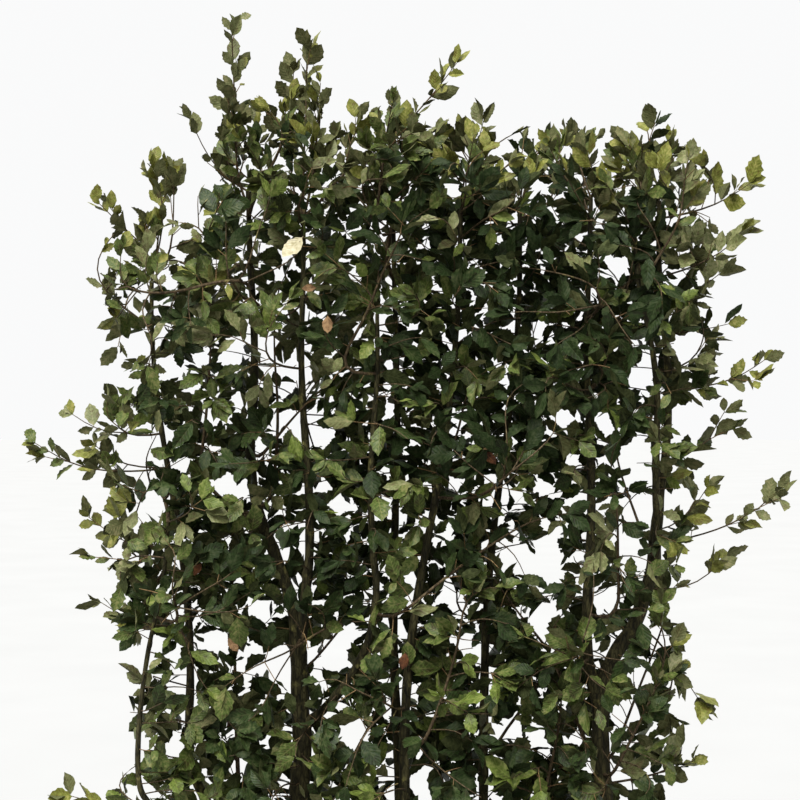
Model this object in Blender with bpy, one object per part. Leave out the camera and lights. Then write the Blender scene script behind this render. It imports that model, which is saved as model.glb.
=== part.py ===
"""A holm oak trained as a flat screen: many upright stems from one root, leafy to the ground.

Lengths are in metres. X runs along the screen, Y through it, and Z is up from level ground.
The origin is in the middle of the flat cut under the trunk.
"""

import math
from typing import NamedTuple

import bmesh
import bpy
import numpy as np
from mathutils import Quaternion, Vector
from mathutils.bvhtree import BVHTree

# The leafy screen, from its left side to its right side, through it, and down to its skirt
SCREEN_LEFT = -0.79
SCREEN_RIGHT = 0.64
SCREEN_HALF_DEPTH = 0.20
SKIRT_HEIGHT = 0.17
COLUMN_TOPS = (1.90, 2.08, 2.04, 2.06)
TIERS = 5
MASS_OVERLAP = 1.14
MASS_WANDER = 0.035

# The trunk, which flares to its roots and forks low
TRUNK_NECK_RADIUS = 0.062
TRUNK_FLARE = 0.050
TRUNK_FLARE_HEIGHT = 0.035
TRUNK_HEIGHT = 0.165
TRUNK_SIDES = 12
ROOT_LOBES = 5
STEM_FOOT_SIDE = 0.030
STEM_FOOT_DEPTH = 0.055

# Limbs
LIMB_SIDES = 6
LIMB_RING_STEP = 0.15
LIMB_SWAY = 0.010
LIMB_LEAN = 0.60
LIMB_LEAN_HEIGHT = 0.40
LIMB_BOW = 0.35
LIMB_UPPER_BOW = 0.33
LIMB_TAPER_POWER = 0.85
FORK_SWELL = 0.22
FORK_SWELL_LENGTH = 0.035
SMOOTH_ANGLE = math.radians(65.0)

# Twigs, which have three sides
TWIG_TIP_RADIUS = 0.0024
TWIG_FOOT_RADIUS = 0.0050
TWIG_TAPER_POWER = 0.30
TWIG_STEP = 0.74
TWIG_STRAIGHTNESS = 0.35
TWIG_RISE = 0.10
TWIG_BEND = 0.2
TWIG_TRIES = 5
BUD_SPACING = 0.55
BUDS_PER_LEAF = 2.0
BUD_TRIES = 3000
BUD_RIM = 0.90

# Leaves, which are larger than life so that a few hundred fill the crown
LEAF_LENGTH = 0.158
SHOOT_LEAF_LENGTH = 0.092
LEAF_WIDTH = 0.56
LEAF_WIDEST = 0.46
LEAF_THICKNESS = 0.015
LEAF_FOLD = 0.06
LEAF_ROOT = 0.0012
TIP_LEAF_ROOT = 0.010
LEAVES_IN_MASS = 13
SHOOT_REACH = 0.085
LEAF_TRIES = 14
SPREAD_THROUGH = 0.6
TIP_LEAF_WORTH = 0.2

# Where a mass is seated on the limbs
SEAT_SPACING = 0.03
FACING_WORTH = 0.10
LIMB_TIP_WORTH = 0.06

# Clear space
GAP = 0.0003
CLEARANCE = 0.0012
CHECK_HEIGHT = 0.02
SPACE_MARGIN = 0.02

BARK_COLOUR = (0.095, 0.078, 0.055)
LEAF_COLOUR = (0.034, 0.062, 0.020)

UP = Vector((0.0, 0.0, 1.0))


class Limb(NamedTuple):
    """A limb leaves its carrier at a height, swings to its own side and depth, and rises to its top."""

    carrier: str
    leaves_at: float
    side: float
    depth: float
    turn_height: float
    top_side: float
    top_depth: float
    top_height: float
    foot_radius: float
    top_radius: float
    beside: tuple = ()


# A limb whose leaves_at is its carrier's top height goes on from the carrier's end.
# One that lists others in beside is also cut clear of them at its foot.
LIMBS = {
    "stem_left": Limb("trunk", 0.09, -0.315, 0.01, 0.52, -0.318, 0.01, 0.86, 0.0250, 0.0200),
    "stem_right": Limb("trunk", 0.09, 0.368, -0.01, 0.52, 0.360, 0.00, 0.79, 0.0240, 0.0195),
    "stem_middle": Limb("trunk", 0.10, -0.078, -0.06, 0.54, 0.045, -0.04, 1.86, 0.0145, 0.0050),
    "stem_inner": Limb("trunk", 0.10, -0.092, 0.07, 0.50, -0.105, 0.05, 1.84, 0.0150, 0.0050),
    "stem_middle_right": Limb("trunk", 0.10, 0.092, 0.05, 0.50, 0.180, 0.02, 1.86, 0.0140, 0.0050),
    "stem_outer_left": Limb("stem_left", 0.30, -0.560, 0.03, 0.66, -0.650, 0.02, 1.70, 0.0135, 0.0045),
    "bough_far_left": Limb(
        "stem_outer_left", 0.42, -0.676, -0.06, 0.60, -0.600, -0.07, 1.16, 0.0080, 0.0040
    ),
    "bough_left_upper": Limb(
        "stem_left", 0.86, -0.420, 0.03, 1.30, -0.432, 0.02, 1.90, 0.0160, 0.0055
    ),
    "bough_left_inner": Limb(
        "stem_left", 0.80, -0.300, -0.03, 1.10, -0.305, -0.02, 1.84, 0.0130, 0.0050, ("bough_left_upper",)
    ),
    "bough_front": Limb(
        "stem_left", 0.69, -0.150, -0.08, 1.00, -0.140, -0.09, 1.62, 0.0110, 0.0045
    ),
    "bough_right_outer": Limb(
        "stem_right", 0.79, 0.470, 0.02, 1.00, 0.484, 0.02, 1.11, 0.0165, 0.0150
    ),
    "bough_right_inner": Limb(
        "stem_right", 0.73, 0.325, -0.03, 1.00, 0.336, -0.02, 1.88, 0.0135, 0.0050, ("bough_right_outer",)
    ),
    "bough_right_back": Limb(
        "bough_right_outer", 1.11, 0.515, 0.05, 1.30, 0.495, 0.03, 1.88, 0.0125, 0.0050
    ),
    "bough_right_front": Limb(
        "bough_right_outer", 1.06, 0.470, -0.05, 1.28, 0.430, -0.04, 1.80, 0.0105, 0.0045,
        ("bough_right_back",),
    ),
}


class Shoot(NamedTuple):
    """A long shoot that stands out of the screen: where it starts, its furthest tip and its leaves."""

    start: tuple
    tip: tuple
    leaves: int


SHOOTS = {
    "shoot_top_left": Shoot((-0.46, 0.02, 1.86), (-0.466, -0.02, 2.292), 8),
    "shoot_top_second": Shoot((-0.31, -0.02, 1.82), (-0.312, 0.03, 2.248), 9),
    "shoot_top_middle": Shoot((-0.11, 0.05, 1.82), (0.045, -0.02, 2.192), 9),
    "shoot_corner_left": Shoot((-0.65, 0.02, 1.68), (-0.640, 0.00, 1.985), 8),
    "shoot_left_high": Shoot((-0.65, 0.02, 1.60), (-0.806, -0.06, 1.885), 8),
    "shoot_left_middle": Shoot((-0.63, 0.03, 1.27), (-0.925, -0.07, 1.345), 8),
    "shoot_left_low": Shoot((-0.59, 0.03, 1.02), (-0.830, 0.08, 1.165), 7),
    "shoot_left_foot": Shoot((-0.67, -0.05, 0.56), (-0.865, -0.02, 0.595), 7),
    "shoot_right_top": Shoot((0.50, 0.04, 1.72), (0.706, -0.04, 1.925), 8),
    "shoot_right_high": Shoot((0.53, 0.05, 1.36), (0.776, 0.03, 1.500), 9),
    "shoot_right_middle": Shoot((0.53, 0.05, 1.10), (0.774, -0.04, 1.240), 9),
    "shoot_right_low": Shoot((0.48, 0.01, 0.95), (0.718, 0.05, 1.055), 7),
}

# Open sky through the whole screen, as X, Z and radius
SKY_GAPS = (
    (0.445, 1.190, 0.050),
    (0.180, 0.690, 0.055),
    (0.185, 1.065, 0.045),
    (-0.220, 1.825, 0.040),
    (-0.575, 1.870, 0.045),
    (-0.640, 1.215, 0.040),
    (-0.490, 1.235, 0.035),
    (0.455, 0.800, 0.045),
    (-0.185, 0.670, 0.035),
    (-0.600, 0.810, 0.045),
    (0.455, 1.525, 0.030),
    (0.045, 1.705, 0.028),
)


def empty_scene():
    """Removes every object that the file opened with."""
    for thing in list(bpy.data.objects):
        bpy.data.objects.remove(thing, do_unlink=True)


def make_material(name, colour, roughness):
    """A Principled material of one colour."""
    material = bpy.data.materials.new(name)
    material.use_nodes = True
    shader = material.node_tree.nodes["Principled BSDF"]
    shader.inputs["Base Color"].default_value = (*colour, 1.0)
    shader.inputs["Roughness"].default_value = roughness
    shader.inputs["Metallic"].default_value = 0.0
    return material


def make_piece(name, points, faces, foot, material, parent):
    """An object whose origin is at its foot, from world points and faces."""
    mesh = bpy.data.meshes.new(name)
    mesh.from_pydata([tuple(Vector(p) - foot) for p in points], [], faces)
    mesh.materials.append(material)
    mesh.update()
    piece = bpy.data.objects.new(name, mesh)
    piece.location = foot
    piece.parent = parent
    bpy.context.scene.collection.objects.link(piece)
    return piece


def bezier(a, b, c, d, count):
    """Evenly numbered points on a cubic curve, without its first one."""
    points = []
    for k in range(1, count + 1):
        t = k / count
        s = 1.0 - t
        points.append(a * s**3 + b * (3 * s * s * t) + c * (3 * s * t * t) + d * t**3)
    return points


def rings_along(path, radii, sides):
    """Rings of points square to a path, each turned as little as possible from the one before it."""
    path = [Vector(p) for p in path]
    rings = []
    side = None
    for k, point in enumerate(path):
        ahead = path[min(k + 1, len(path) - 1)]
        behind = path[max(k - 1, 0)]
        along = (ahead - behind).normalized()
        if side is None:
            side = along.orthogonal().normalized()
        side = (side - along * side.dot(along)).normalized()
        across = along.cross(side)
        turn = [2 * math.pi * s / sides for s in range(sides)]
        rings.append([point + (side * math.cos(a) + across * math.sin(a)) * radii[k] for a in turn])
    return rings


def skin(rings, tip=None):
    """Points and triangles of a closed tube over rings, ending in a flat cap or in a point."""
    sides = len(rings[0])
    points = [p for ring in rings for p in ring]
    faces = []
    for k in range(len(rings) - 1):
        for s in range(sides):
            a = k * sides + s
            b = k * sides + (s + 1) % sides
            faces += [(a, b, b + sides), (a, b + sides, a + sides)]
    faces += [(0, s + 1, s) for s in range(1, sides - 1)]
    last = (len(rings) - 1) * sides
    if tip is None:
        faces += [(last, last + s, last + s + 1) for s in range(1, sides - 1)]
    else:
        points.append(tip)
        end = len(points) - 1
        faces += [(last + s, last + (s + 1) % sides, end) for s in range(sides)]
    return points, faces


def trunk_rings(grow=0.0):
    """The trunk's rings, wide and lobed at the ground, and domed over at the fork."""
    heights = (0.0, 0.012, 0.030, 0.060, 0.100, 0.135, 0.155, TRUNK_HEIGHT)
    domes = (1.0, 1.0, 1.0, 1.0, 1.0, 0.93, 0.72, 0.36)
    rings = []
    for height, dome in zip(heights, domes):
        flare = TRUNK_FLARE * math.exp(-height / TRUNK_FLARE_HEIGHT)
        ring = []
        for s in range(TRUNK_SIDES):
            angle = 2 * math.pi * s / TRUNK_SIDES
            lobe = 0.75 + 0.35 * math.cos(ROOT_LOBES * angle + 0.6)
            radius = (TRUNK_NECK_RADIUS + flare * lobe) * dome + grow
            ring.append(Vector((radius * math.cos(angle), radius * math.sin(angle), height)))
        rings.append(ring)
    for p in rings[-1]:
        p.z += grow
    return rings


def limb_path(name, limb, paths, rng):
    """The limb's route: out from its carrier, upright at its own side, then up to its top."""
    turn = Vector((limb.side, limb.depth, limb.turn_height))
    top = Vector((limb.top_side, limb.top_depth, limb.top_height))
    if limb.carrier == "trunk":
        angle = math.atan2(limb.depth, limb.side)
        foot = Vector((STEM_FOOT_SIDE * math.cos(angle), STEM_FOOT_DEPTH * math.sin(angle), limb.leaves_at))
        goes_on = False
    else:
        below = paths[limb.carrier]
        goes_on = limb.leaves_at >= below[-1].z
        if goes_on:
            foot = below[-1] + (below[-1] - below[-2]).normalized() * GAP
        else:
            near = sorted(below, key=lambda p: abs(p.z - limb.leaves_at))[:2]
            share = (limb.leaves_at - near[0].z) / (near[1].z - near[0].z)
            foot = near[0].lerp(near[1], share)
    rise = turn.z - foot.z
    if goes_on:
        out = foot + (below[-1] - below[-2]).normalized() * rise * LIMB_BOW
    else:
        out = foot.lerp(Vector((turn.x, turn.y, foot.z + LIMB_LEAN_HEIGHT * rise)), LIMB_LEAN)
    lower_count = max(3, math.ceil((turn - foot).length / LIMB_RING_STEP))
    path = [foot] + bezier(foot, out, turn - UP * rise * LIMB_BOW, turn, lower_count)
    upper = top.z - turn.z
    upper_count = max(2, math.ceil(upper / LIMB_RING_STEP))
    bow = UP * upper * LIMB_UPPER_BOW
    path += bezier(turn, turn + bow, top - bow, top, upper_count)
    phase = rng.uniform(0.0, 2 * math.pi, 2)
    for k in range(1, len(path) - 1):
        share = k / (len(path) - 1)
        sway = LIMB_SWAY * math.sin(math.pi * share)
        path[k].x += sway * math.sin(9.0 * share + phase[0])
        path[k].y += sway * math.sin(7.0 * share + phase[1])
    return path


def limb_radii(limb, path):
    """Radii that taper from foot to top, with the collar that a fork grows."""
    run = [0.0]
    for a, b in zip(path, path[1:]):
        run.append(run[-1] + (b - a).length)
    radii = []
    for length in run:
        share = length / run[-1]
        taper = limb.foot_radius + (limb.top_radius - limb.foot_radius) * share**LIMB_TAPER_POWER
        radii.append(taper * (1.0 + FORK_SWELL * math.exp(-length / FORK_SWELL_LENGTH)))
    return radii


def grown(path, radii):
    """Rings of a limb made larger all round by the gap, to cut its neighbours clear of it."""
    wider = [r + GAP / math.cos(math.pi / LIMB_SIDES) for r in radii]
    start = path[0] - (path[1] - path[0]).normalized() * GAP
    end = path[-1] + (path[-1] - path[-2]).normalized() * GAP
    return rings_along([start, *path[1:-1], end], wider, LIMB_SIDES)


def apply_boolean(piece, helpers, operation):
    """Joins or cuts a piece with its helpers in one Boolean, and keeps its largest closed body.

    The solver is MANIFOLD, because EXACT leaves some of the limbs' feet uncut.
    """
    group = bpy.data.collections.new("helpers")
    for helper in helpers:
        group.objects.link(helper)
    boolean = piece.modifiers.new("join", "BOOLEAN")
    boolean.operation = operation
    boolean.operand_type = "COLLECTION"
    boolean.collection = group
    boolean.solver = "MANIFOLD"
    graph = bpy.context.evaluated_depsgraph_get()
    joined = bpy.data.meshes.new_from_object(piece.evaluated_get(graph))
    piece.modifiers.clear()
    piece.data = joined
    for helper in helpers:
        bpy.data.objects.remove(helper, do_unlink=True)
    bpy.data.collections.remove(group)
    return keep_largest_body(joined)


def keep_largest_body(mesh):
    """Drops loose scraps and the walls of sealed hollows, and merges close points.

    Points merge only as far as the body stays closed. It says whether each edge still joins two faces.
    """
    for spacing in (0.00002, 0.000005, 0.000001, 0.0):
        shape = bmesh.new()
        shape.from_mesh(mesh)
        if spacing:
            bmesh.ops.remove_doubles(shape, verts=shape.verts, dist=spacing)
            bmesh.ops.dissolve_degenerate(shape, edges=shape.edges, dist=spacing)
        bmesh.ops.triangulate(shape, faces=shape.faces)
        bodies = bodies_of(shape)
        loose = [face for body in bodies[:-1] for face in body]
        bmesh.ops.delete(shape, geom=loose, context="FACES")
        closed = all(edge.is_manifold for edge in shape.edges) and all(v.is_manifold for v in shape.verts)
        if closed or not spacing:
            shape.to_mesh(mesh)
            shape.free()
            return closed
        shape.free()


def bodies_of(shape):
    """The faces of each connected body, from the smallest to the largest by area."""
    left = set(shape.faces)
    bodies = []
    while left:
        body = [left.pop()]
        for face in body:
            for edge in face.edges:
                for other in edge.link_faces:
                    if other in left:
                        left.remove(other)
                        body.append(other)
        bodies.append(body)
    return sorted(bodies, key=lambda body: sum(face.calc_area() for face in body))


def tree_of(points, faces):
    """A search tree over triangles."""
    return BVHTree.FromPolygons([tuple(p) for p in points], faces)


def build_limbs(rng, bark, root):
    """The trunk and every limb, each cut clear of what it grows from, and the rings that masses start on."""
    rings = trunk_rings()
    pieces = [make_piece("trunk", *skin(rings), Vector((0.0, 0.0, 0.0)), bark, root)]
    paths = {}
    all_radii = {}
    limb_rings = {}
    for name, limb in LIMBS.items():
        paths[name] = limb_path(name, limb, paths, rng)
        all_radii[name] = limb_radii(limb, paths[name])
        limb_rings[name] = rings_along(paths[name], all_radii[name], LIMB_SIDES)
    for name, limb in LIMBS.items():
        piece = make_piece(name, *skin(limb_rings[name]), paths[name][0], bark, root)
        cutters = []
        for other in (limb.carrier, *limb.beside):
            if other == "trunk":
                shape = skin(trunk_rings(GAP))
            else:
                shape = skin(grown(paths[other], all_radii[other]))
            cutters.append(make_piece("cutter", *shape, Vector((0.0, 0.0, 0.0)), bark, None))
        apply_boolean(piece, cutters, "DIFFERENCE")
        pieces.append(piece)
    for piece in pieces:
        piece.data.shade_smooth()
        piece.data.set_sharp_from_angle(angle=SMOOTH_ANGLE)
    return pieces, limb_rings


class Mass:
    """A mass of leaves: its spine from its seat to its core, and the half sizes of its space round that."""

    def __init__(self, name, start, out, core, reach, leaves, leaf_length):
        self.name = name
        self.leaves = leaves
        self.leaf_length = leaf_length
        self.step = TWIG_STEP * leaf_length
        self.start = start
        self.first = self.start + out * (0.5 * self.step)
        self.core = core
        self.reach = np.array(reach)
        self.spine = [np.array(p) for p in (self.start, self.first, self.core)]

    def depth(self, points):
        """How far points lie from the spine, from 0 on it to 1 on the rim of the space."""
        points = np.asarray(points, dtype=float)
        least = np.full(len(points), np.inf)
        for a, b in zip(self.spine, self.spine[1:]):
            share = np.clip(((points - a) @ (b - a)) / ((b - a) @ (b - a)), 0.0, 1.0)
            away = np.abs(points - (a + share[:, None] * (b - a))) / self.reach
            least = np.minimum(least, (away**3).sum(axis=1) ** (1.0 / 3.0))
        return least

    def corners(self):
        """The lowest and highest corner of a box round the space."""
        return np.min(self.spine, axis=0) - self.reach, np.max(self.spine, axis=0) + self.reach


def in_space(mass, masses, points):
    """Whether each point lies in the mass's own space and well above the ground."""
    points = np.asarray(points, dtype=float)
    own = mass.depth(points)
    inside = (own < 1.0) & (points[:, 2] > 0.5 * SKIRT_HEIGHT)
    for other in masses:
        if other is not mass:
            inside &= own < other.depth(points) - SPACE_MARGIN
    return inside


def shows_sky(points):
    """Whether any point lies in one of the sky gaps, seen straight through the screen."""
    points = np.asarray(points, dtype=float)
    return any((np.hypot(points[:, 0] - x, points[:, 2] - z) < radius).any() for x, z, radius in SKY_GAPS)


def seats_on(limb_rings, limb_tree):
    """Every place where a mass can start: each limb's tip and each facet's middle, if the way out is free."""
    seats = []
    for rings in limb_rings.values():
        tip = sum(rings[-1], Vector()) / LIMB_SIDES
        below = sum(rings[-2], Vector()) / LIMB_SIDES
        seats.append((tip, (tip - below).normalized(), True))
        for lower, upper in zip(rings[2:-1], rings[3:]):
            for s in range(LIMB_SIDES):
                a, b = lower[s - 1], lower[s]
                middle = (a + b + upper[s - 1] + upper[s]) / 4
                seats.append((middle, (b - a).cross(upper[s] - a).normalized(), False))
    free = LEAF_LENGTH * TWIG_STEP
    return [seat for seat in seats if way_is_free(seat, limb_tree, free)]


def way_is_free(seat, limb_tree, distance):
    """Whether no limb stands in a seat's way out."""
    middle, out, _ = seat
    return limb_tree.ray_cast(middle + out * CLEARANCE, out, distance)[3] is None


def clear_start(middle, out, limb_tree):
    """Where a stem's flat foot stands clear of the limb by the gap, found by rays back to the bark."""
    side = out.orthogonal().normalized() * TWIG_FOOT_RADIUS
    highest = 0.0
    for turn in range(12):
        rim = middle + Quaternion(out, math.pi * turn / 6) @ side + out * CHECK_HEIGHT
        distance = limb_tree.ray_cast(rim, -out, 2 * CHECK_HEIGHT)[3]
        if distance is not None:
            highest = max(highest, CHECK_HEIGHT - distance)
    return middle + out * (highest + GAP)


def nearest_seat(target, towards, seats):
    """Takes the seat that is near a target and faces the mass, tips before sides, and those close to it."""

    def cost(seat):
        middle, normal, at_tip = seat
        turned_away = 1.0 - normal.dot((towards - middle).normalized())
        return (middle - target).length + FACING_WORTH * turned_away - LIMB_TIP_WORTH * at_tip

    best = min(seats, key=cost)
    seats[:] = [seat for seat in seats if (seat[0] - best[0]).length > SEAT_SPACING]
    return best[0], best[1]


def plan_masses(limb_rings, limb_tree, rng):
    """Every mass of leaves: the shoots that stand out of the screen, then its tiers column by column."""
    masses = []
    seats = seats_on(limb_rings, limb_tree)
    for name, shoot in SHOOTS.items():
        tip = Vector(shoot.tip)
        foot, out = nearest_seat(Vector(shoot.start), tip, seats)
        start = clear_start(foot, out, limb_tree)
        core = tip - (tip - foot).normalized() * 0.5 * SHOOT_LEAF_LENGTH
        masses.append(Mass(name, start, out, core, [SHOOT_REACH] * 3, shoot.leaves, SHOOT_LEAF_LENGTH))
    width = (SCREEN_RIGHT - SCREEN_LEFT) / len(COLUMN_TOPS)
    for column, top in enumerate(COLUMN_TOPS):
        tier_height = (top - SKIRT_HEIGHT) / TIERS
        side = SCREEN_LEFT + (column + 0.5) * width
        reach = (0.5 * width * MASS_OVERLAP, SCREEN_HALF_DEPTH, 0.5 * tier_height * MASS_OVERLAP)
        for tier in range(TIERS):
            core = Vector((side, 0.0, SKIRT_HEIGHT + (tier + 0.5) * tier_height))
            core += Vector(rng.uniform(-MASS_WANDER, MASS_WANDER, 3))
            foot, out = nearest_seat(core - UP * 0.30 * tier_height, core, seats)
            start = clear_start(foot, out, limb_tree)
            name = f"foliage_{column + 1}_{tier + 1}"
            masses.append(Mass(name, start, out, core, reach, LEAVES_IN_MASS, LEAF_LENGTH))
    return masses


def far_enough(points, limb_tree, distance):
    """Whether all points stay that far from the limbs."""
    return all(limb_tree.find_nearest(p)[3] > distance for p in points)


def strew_buds(mass, masses, rng):
    """Spots in the mass's own space that its twigs grow towards, those along its spine first."""
    low, high = mass.corners()
    buds = [np.array(mass.first.lerp(mass.core, share)) for share in (0.35, 0.7, 1.0)]
    for _ in range(BUD_TRIES):
        spot = rng.uniform(low, high)
        if mass.depth([spot])[0] < BUD_RIM and in_space(mass, masses, [spot])[0]:
            if all(np.linalg.norm(spot - bud) > BUD_SPACING * mass.leaf_length for bud in buds):
                buds.append(spot)
        if len(buds) > BUDS_PER_LEAF * mass.leaves:
            break
    return [Vector(bud) for bud in buds]


def twig_fits(nodes, fork, way, mass, masses, limb_tree):
    """Whether a length of twig from a fork keeps to the mass's space, and clear of limbs and of other forks."""
    spot = fork + way * mass.step
    if any((node - spot).length < 0.5 * mass.step for node in nodes):
        return False
    if limb_tree.ray_cast(fork, way, mass.step)[3] is not None:
        return False
    steps = [fork.lerp(spot, share) for share in (0.2, 0.4, 0.6, 0.8, 1.0)]
    clear = far_enough(steps, limb_tree, TWIG_FOOT_RADIUS + CLEARANCE)
    return clear and in_space(mass, masses, steps).all()


def grow_nodes(mass, masses, limb_tree, rng):
    """The forks of the mass's twigs, which grow step by step towards its buds: each pulls the nearest."""
    nodes = [mass.start, mass.first]
    parents = [-1, 0]
    buds = strew_buds(mass, masses, rng)
    while buds:
        pulls = {}
        for bud in buds:
            near = min(range(1, len(nodes)), key=lambda k: (nodes[k] - bud).length)
            pulls[near] = pulls.get(near, Vector()) + (bud - nodes[near]).normalized()
        before = len(nodes)
        for k, pull in pulls.items():
            along = (nodes[k] - nodes[parents[k]]).normalized()
            for attempt in range(TWIG_TRIES):
                bend = Vector(rng.normal(0.0, TWIG_BEND * attempt, 3))
                way = pull.normalized() + along * TWIG_STRAIGHTNESS + UP * TWIG_RISE + bend
                way.normalize()
                if twig_fits(nodes, nodes[k], way, mass, masses, limb_tree):
                    nodes.append(nodes[k] + way * mass.step)
                    parents.append(k)
                    break
        buds = [bud for bud in buds if min((node - bud).length for node in nodes) > mass.step]
        if len(nodes) == before:
            break
    return nodes, parents


def twig_chains(nodes, parents):
    """The twigs as chains of nodes, each from the fork it leaves to its tip, and the load on each node."""
    load = [1] * len(nodes)
    for k in range(len(nodes) - 1, 0, -1):
        load[parents[k]] += load[k]
    children = {}
    for k in range(1, len(nodes)):
        children.setdefault(parents[k], []).append(k)
    chains = []
    open_ends = [(0, None)]
    while open_ends:
        start, fork = open_ends.pop()
        chain = [start] if fork is None else [fork, start]
        while chain[-1] in children:
            after = sorted(children[chain[-1]], key=lambda k: -load[k])
            open_ends += [(k, chain[-1]) for k in after[1:]]
            chain.append(after[0])
        chains.append(chain)
    return chains, load


def leaf_shape(base, along, face, length):
    """Points and eight triangles of a leaf: a blunt root, two lifted edges, a tip and a raised midrib."""
    across = face.cross(along).normalized()
    face = along.cross(across)
    middle = base + along * (LEAF_WIDEST * length)
    edge = across * (0.5 * LEAF_WIDTH * length)
    lift = face * (LEAF_FOLD * length)
    half = face * LEAF_ROOT
    rib = middle + face * (LEAF_THICKNESS * length)
    tip = base + along * length
    points = [base + half, middle + edge + lift, tip, middle - edge + lift, rib, base - half]
    faces = [(0, 4, 1), (1, 4, 2), (2, 4, 3), (3, 4, 0), (0, 1, 5), (1, 2, 5), (2, 3, 5), (3, 0, 5)]
    return points, faces


def leaf_clear(mass, masses, points, faces, limb_tree, twig_tree):
    """Whether a leaf keeps to its mass's space, and touches no limb and no twig but its own."""
    edge = [points[a].lerp(points[b], 0.5) for a, b in ((0, 1), (1, 2), (2, 3), (3, 0))]
    if shows_sky(points + edge) or not in_space(mass, masses, points + edge).all():
        return False
    if not far_enough(points + edge, limb_tree, CLEARANCE):
        return False
    blade = [edge[0], points[1], points[2], points[3], edge[3]]
    if tree_of(blade, [(0, 1, 2), (0, 2, 4), (4, 2, 3)]).overlap(twig_tree):
        return False
    return not tree_of(points, faces).overlap(limb_tree)


def place_leaves(mass, masses, nodes, parents, trees, rng):
    """Leaves on the twigs: each site tries several ways to point, and the best spread of them stays."""
    fits = []
    for k in range(2, len(nodes)):
        along = (nodes[k] - nodes[parents[k]]).normalized()
        for share in (0.35, 0.75) if k in parents else (0.4, 1.0):
            at_tip = share == 1.0
            site = nodes[parents[k]].lerp(nodes[k], share)
            for attempt in range(LEAF_TRIES):
                outward = Vector((0.0, math.copysign(0.6, site.y + rng.normal(0.0, 0.06)), 0.4))
                turn = Vector(rng.normal(0.0, 1.0, 3))
                way = along + turn * 0.1 * attempt if at_tip else along * 0.5 + turn * 0.8 + outward * 0.3
                way.normalize()
                face = outward + Vector(rng.normal(0.0, 0.3, 3))
                if abs(face.normalized().dot(way)) > 0.9:
                    continue
                base = site - along * (TIP_LEAF_ROOT if at_tip else 0.0)
                shape = leaf_shape(base, way, face, mass.leaf_length)
                if leaf_clear(mass, masses, *shape, *trees):
                    fits.append((shape, at_tip, k))
                    break
    return best_spread(fits, mass)


def best_spread(fits, mass):
    """The mass's number of leaves, each next one the furthest from those already kept and crossing none."""
    kept = []
    middles = np.array([(shape[0][0] + shape[0][2]) / 2 for shape, _, _ in fits]).reshape(-1, 3)
    middles[:, 1] *= SPREAD_THROUGH
    score = np.full(len(fits), 10.0)
    bonus = np.array([TIP_LEAF_WORTH * mass.leaf_length * at_tip for _, at_tip, _ in fits])
    while len(kept) < mass.leaves and len(fits) and score.max() > 0.0:
        k = int(np.argmax(np.where(score > 0.0, score + bonus, -1.0)))
        tree = tree_of(*fits[k][0])
        if any(tree.overlap(other) for _, other, _ in kept):
            score[k] = 0.0
            continue
        kept.append((fits[k][0], tree, fits[k][2]))
        score = np.minimum(score, np.linalg.norm(middles - middles[k], axis=1))
        score[k] = 0.0
    return [shape for shape, _, _ in kept], {fork for _, _, fork in kept}


def pruned(nodes, parents, bearing):
    """The forks and their parents, less every twig that bears no leaf from there on."""
    needed = {0, 1}
    for k in bearing:
        while k not in needed:
            needed.add(k)
            k = parents[k]
    order = sorted(needed)
    return [nodes[k] for k in order], [-1] + [order.index(parents[k]) for k in order[1:]]


def merged(shapes):
    """The points and faces of several shapes as one."""
    starts = np.cumsum([0] + [len(points) for points, _ in shapes])
    faces = [tuple(int(first) + v for v in face) for first, shape in zip(starts, shapes) for face in shape[1]]
    return [p for points, _ in shapes for p in points], faces


def twig_shapes(nodes, parents, limb_tree):
    """Each twig as a closed three-sided tube that tapers with the load on it, less those that touch a limb."""
    chains, load = twig_chains(nodes, parents)
    radius = [min(TWIG_TIP_RADIUS * n**TWIG_TAPER_POWER, TWIG_FOOT_RADIUS) for n in load]
    shapes = []
    for chain in chains:
        radii = [radius[k] for k in (chain[1], *chain[1:])]
        shape = skin(rings_along([nodes[k] for k in chain], radii, 3))
        if not tree_of(*shape).overlap(limb_tree):
            shapes.append(shape)
    return shapes


def build_mass(mass, masses, limb_tree, rng, leaf, root):
    """One mass, its twigs and leaves fused into one body. Where that doesn't close it loses a leaf."""
    nodes, parents = grow_nodes(mass, masses, limb_tree, rng)
    twig_tree = tree_of(*merged(twig_shapes(nodes, parents, limb_tree)))
    leaves, bearing = place_leaves(mass, masses, nodes, parents, (limb_tree, twig_tree), rng)
    twigs = twig_shapes(*pruned(nodes, parents, bearing), limb_tree)
    while True:
        shapes = twigs + leaves
        piece = make_piece(mass.name, *shapes[0], mass.start, leaf, root)
        helpers = [make_piece("helper", *shape, mass.start, leaf, None) for shape in shapes[1:]]
        if apply_boolean(piece, helpers, "UNION"):
            return
        bpy.data.objects.remove(piece, do_unlink=True)
        leaves.pop()


def build():
    """The whole plant under one empty at its root."""
    empty_scene()
    rng = np.random.default_rng(11)
    root = bpy.data.objects.new("holm_oak", None)
    bpy.context.scene.collection.objects.link(root)
    bark = make_material("bark", BARK_COLOUR, 0.85)
    leaf = make_material("leaf", LEAF_COLOUR, 0.45)
    limbs, limb_rings = build_limbs(rng, bark, root)
    points = []
    faces = []
    for limb in limbs:
        first = len(points)
        points += [v.co + limb.location for v in limb.data.vertices]
        faces += [tuple(first + v for v in face.vertices) for face in limb.data.polygons]
    limb_tree = tree_of(points, faces)
    masses = plan_masses(limb_rings, limb_tree, rng)
    for mass in masses:
        build_mass(mass, masses, limb_tree, rng, leaf, root)


build()
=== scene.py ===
"""A holm oak trained as a flat screen, with barked stems, fine twigs and leaves of life size.

Lengths are in metres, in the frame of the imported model: X along the screen, Y through it, Z up.
"""

import math

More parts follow.
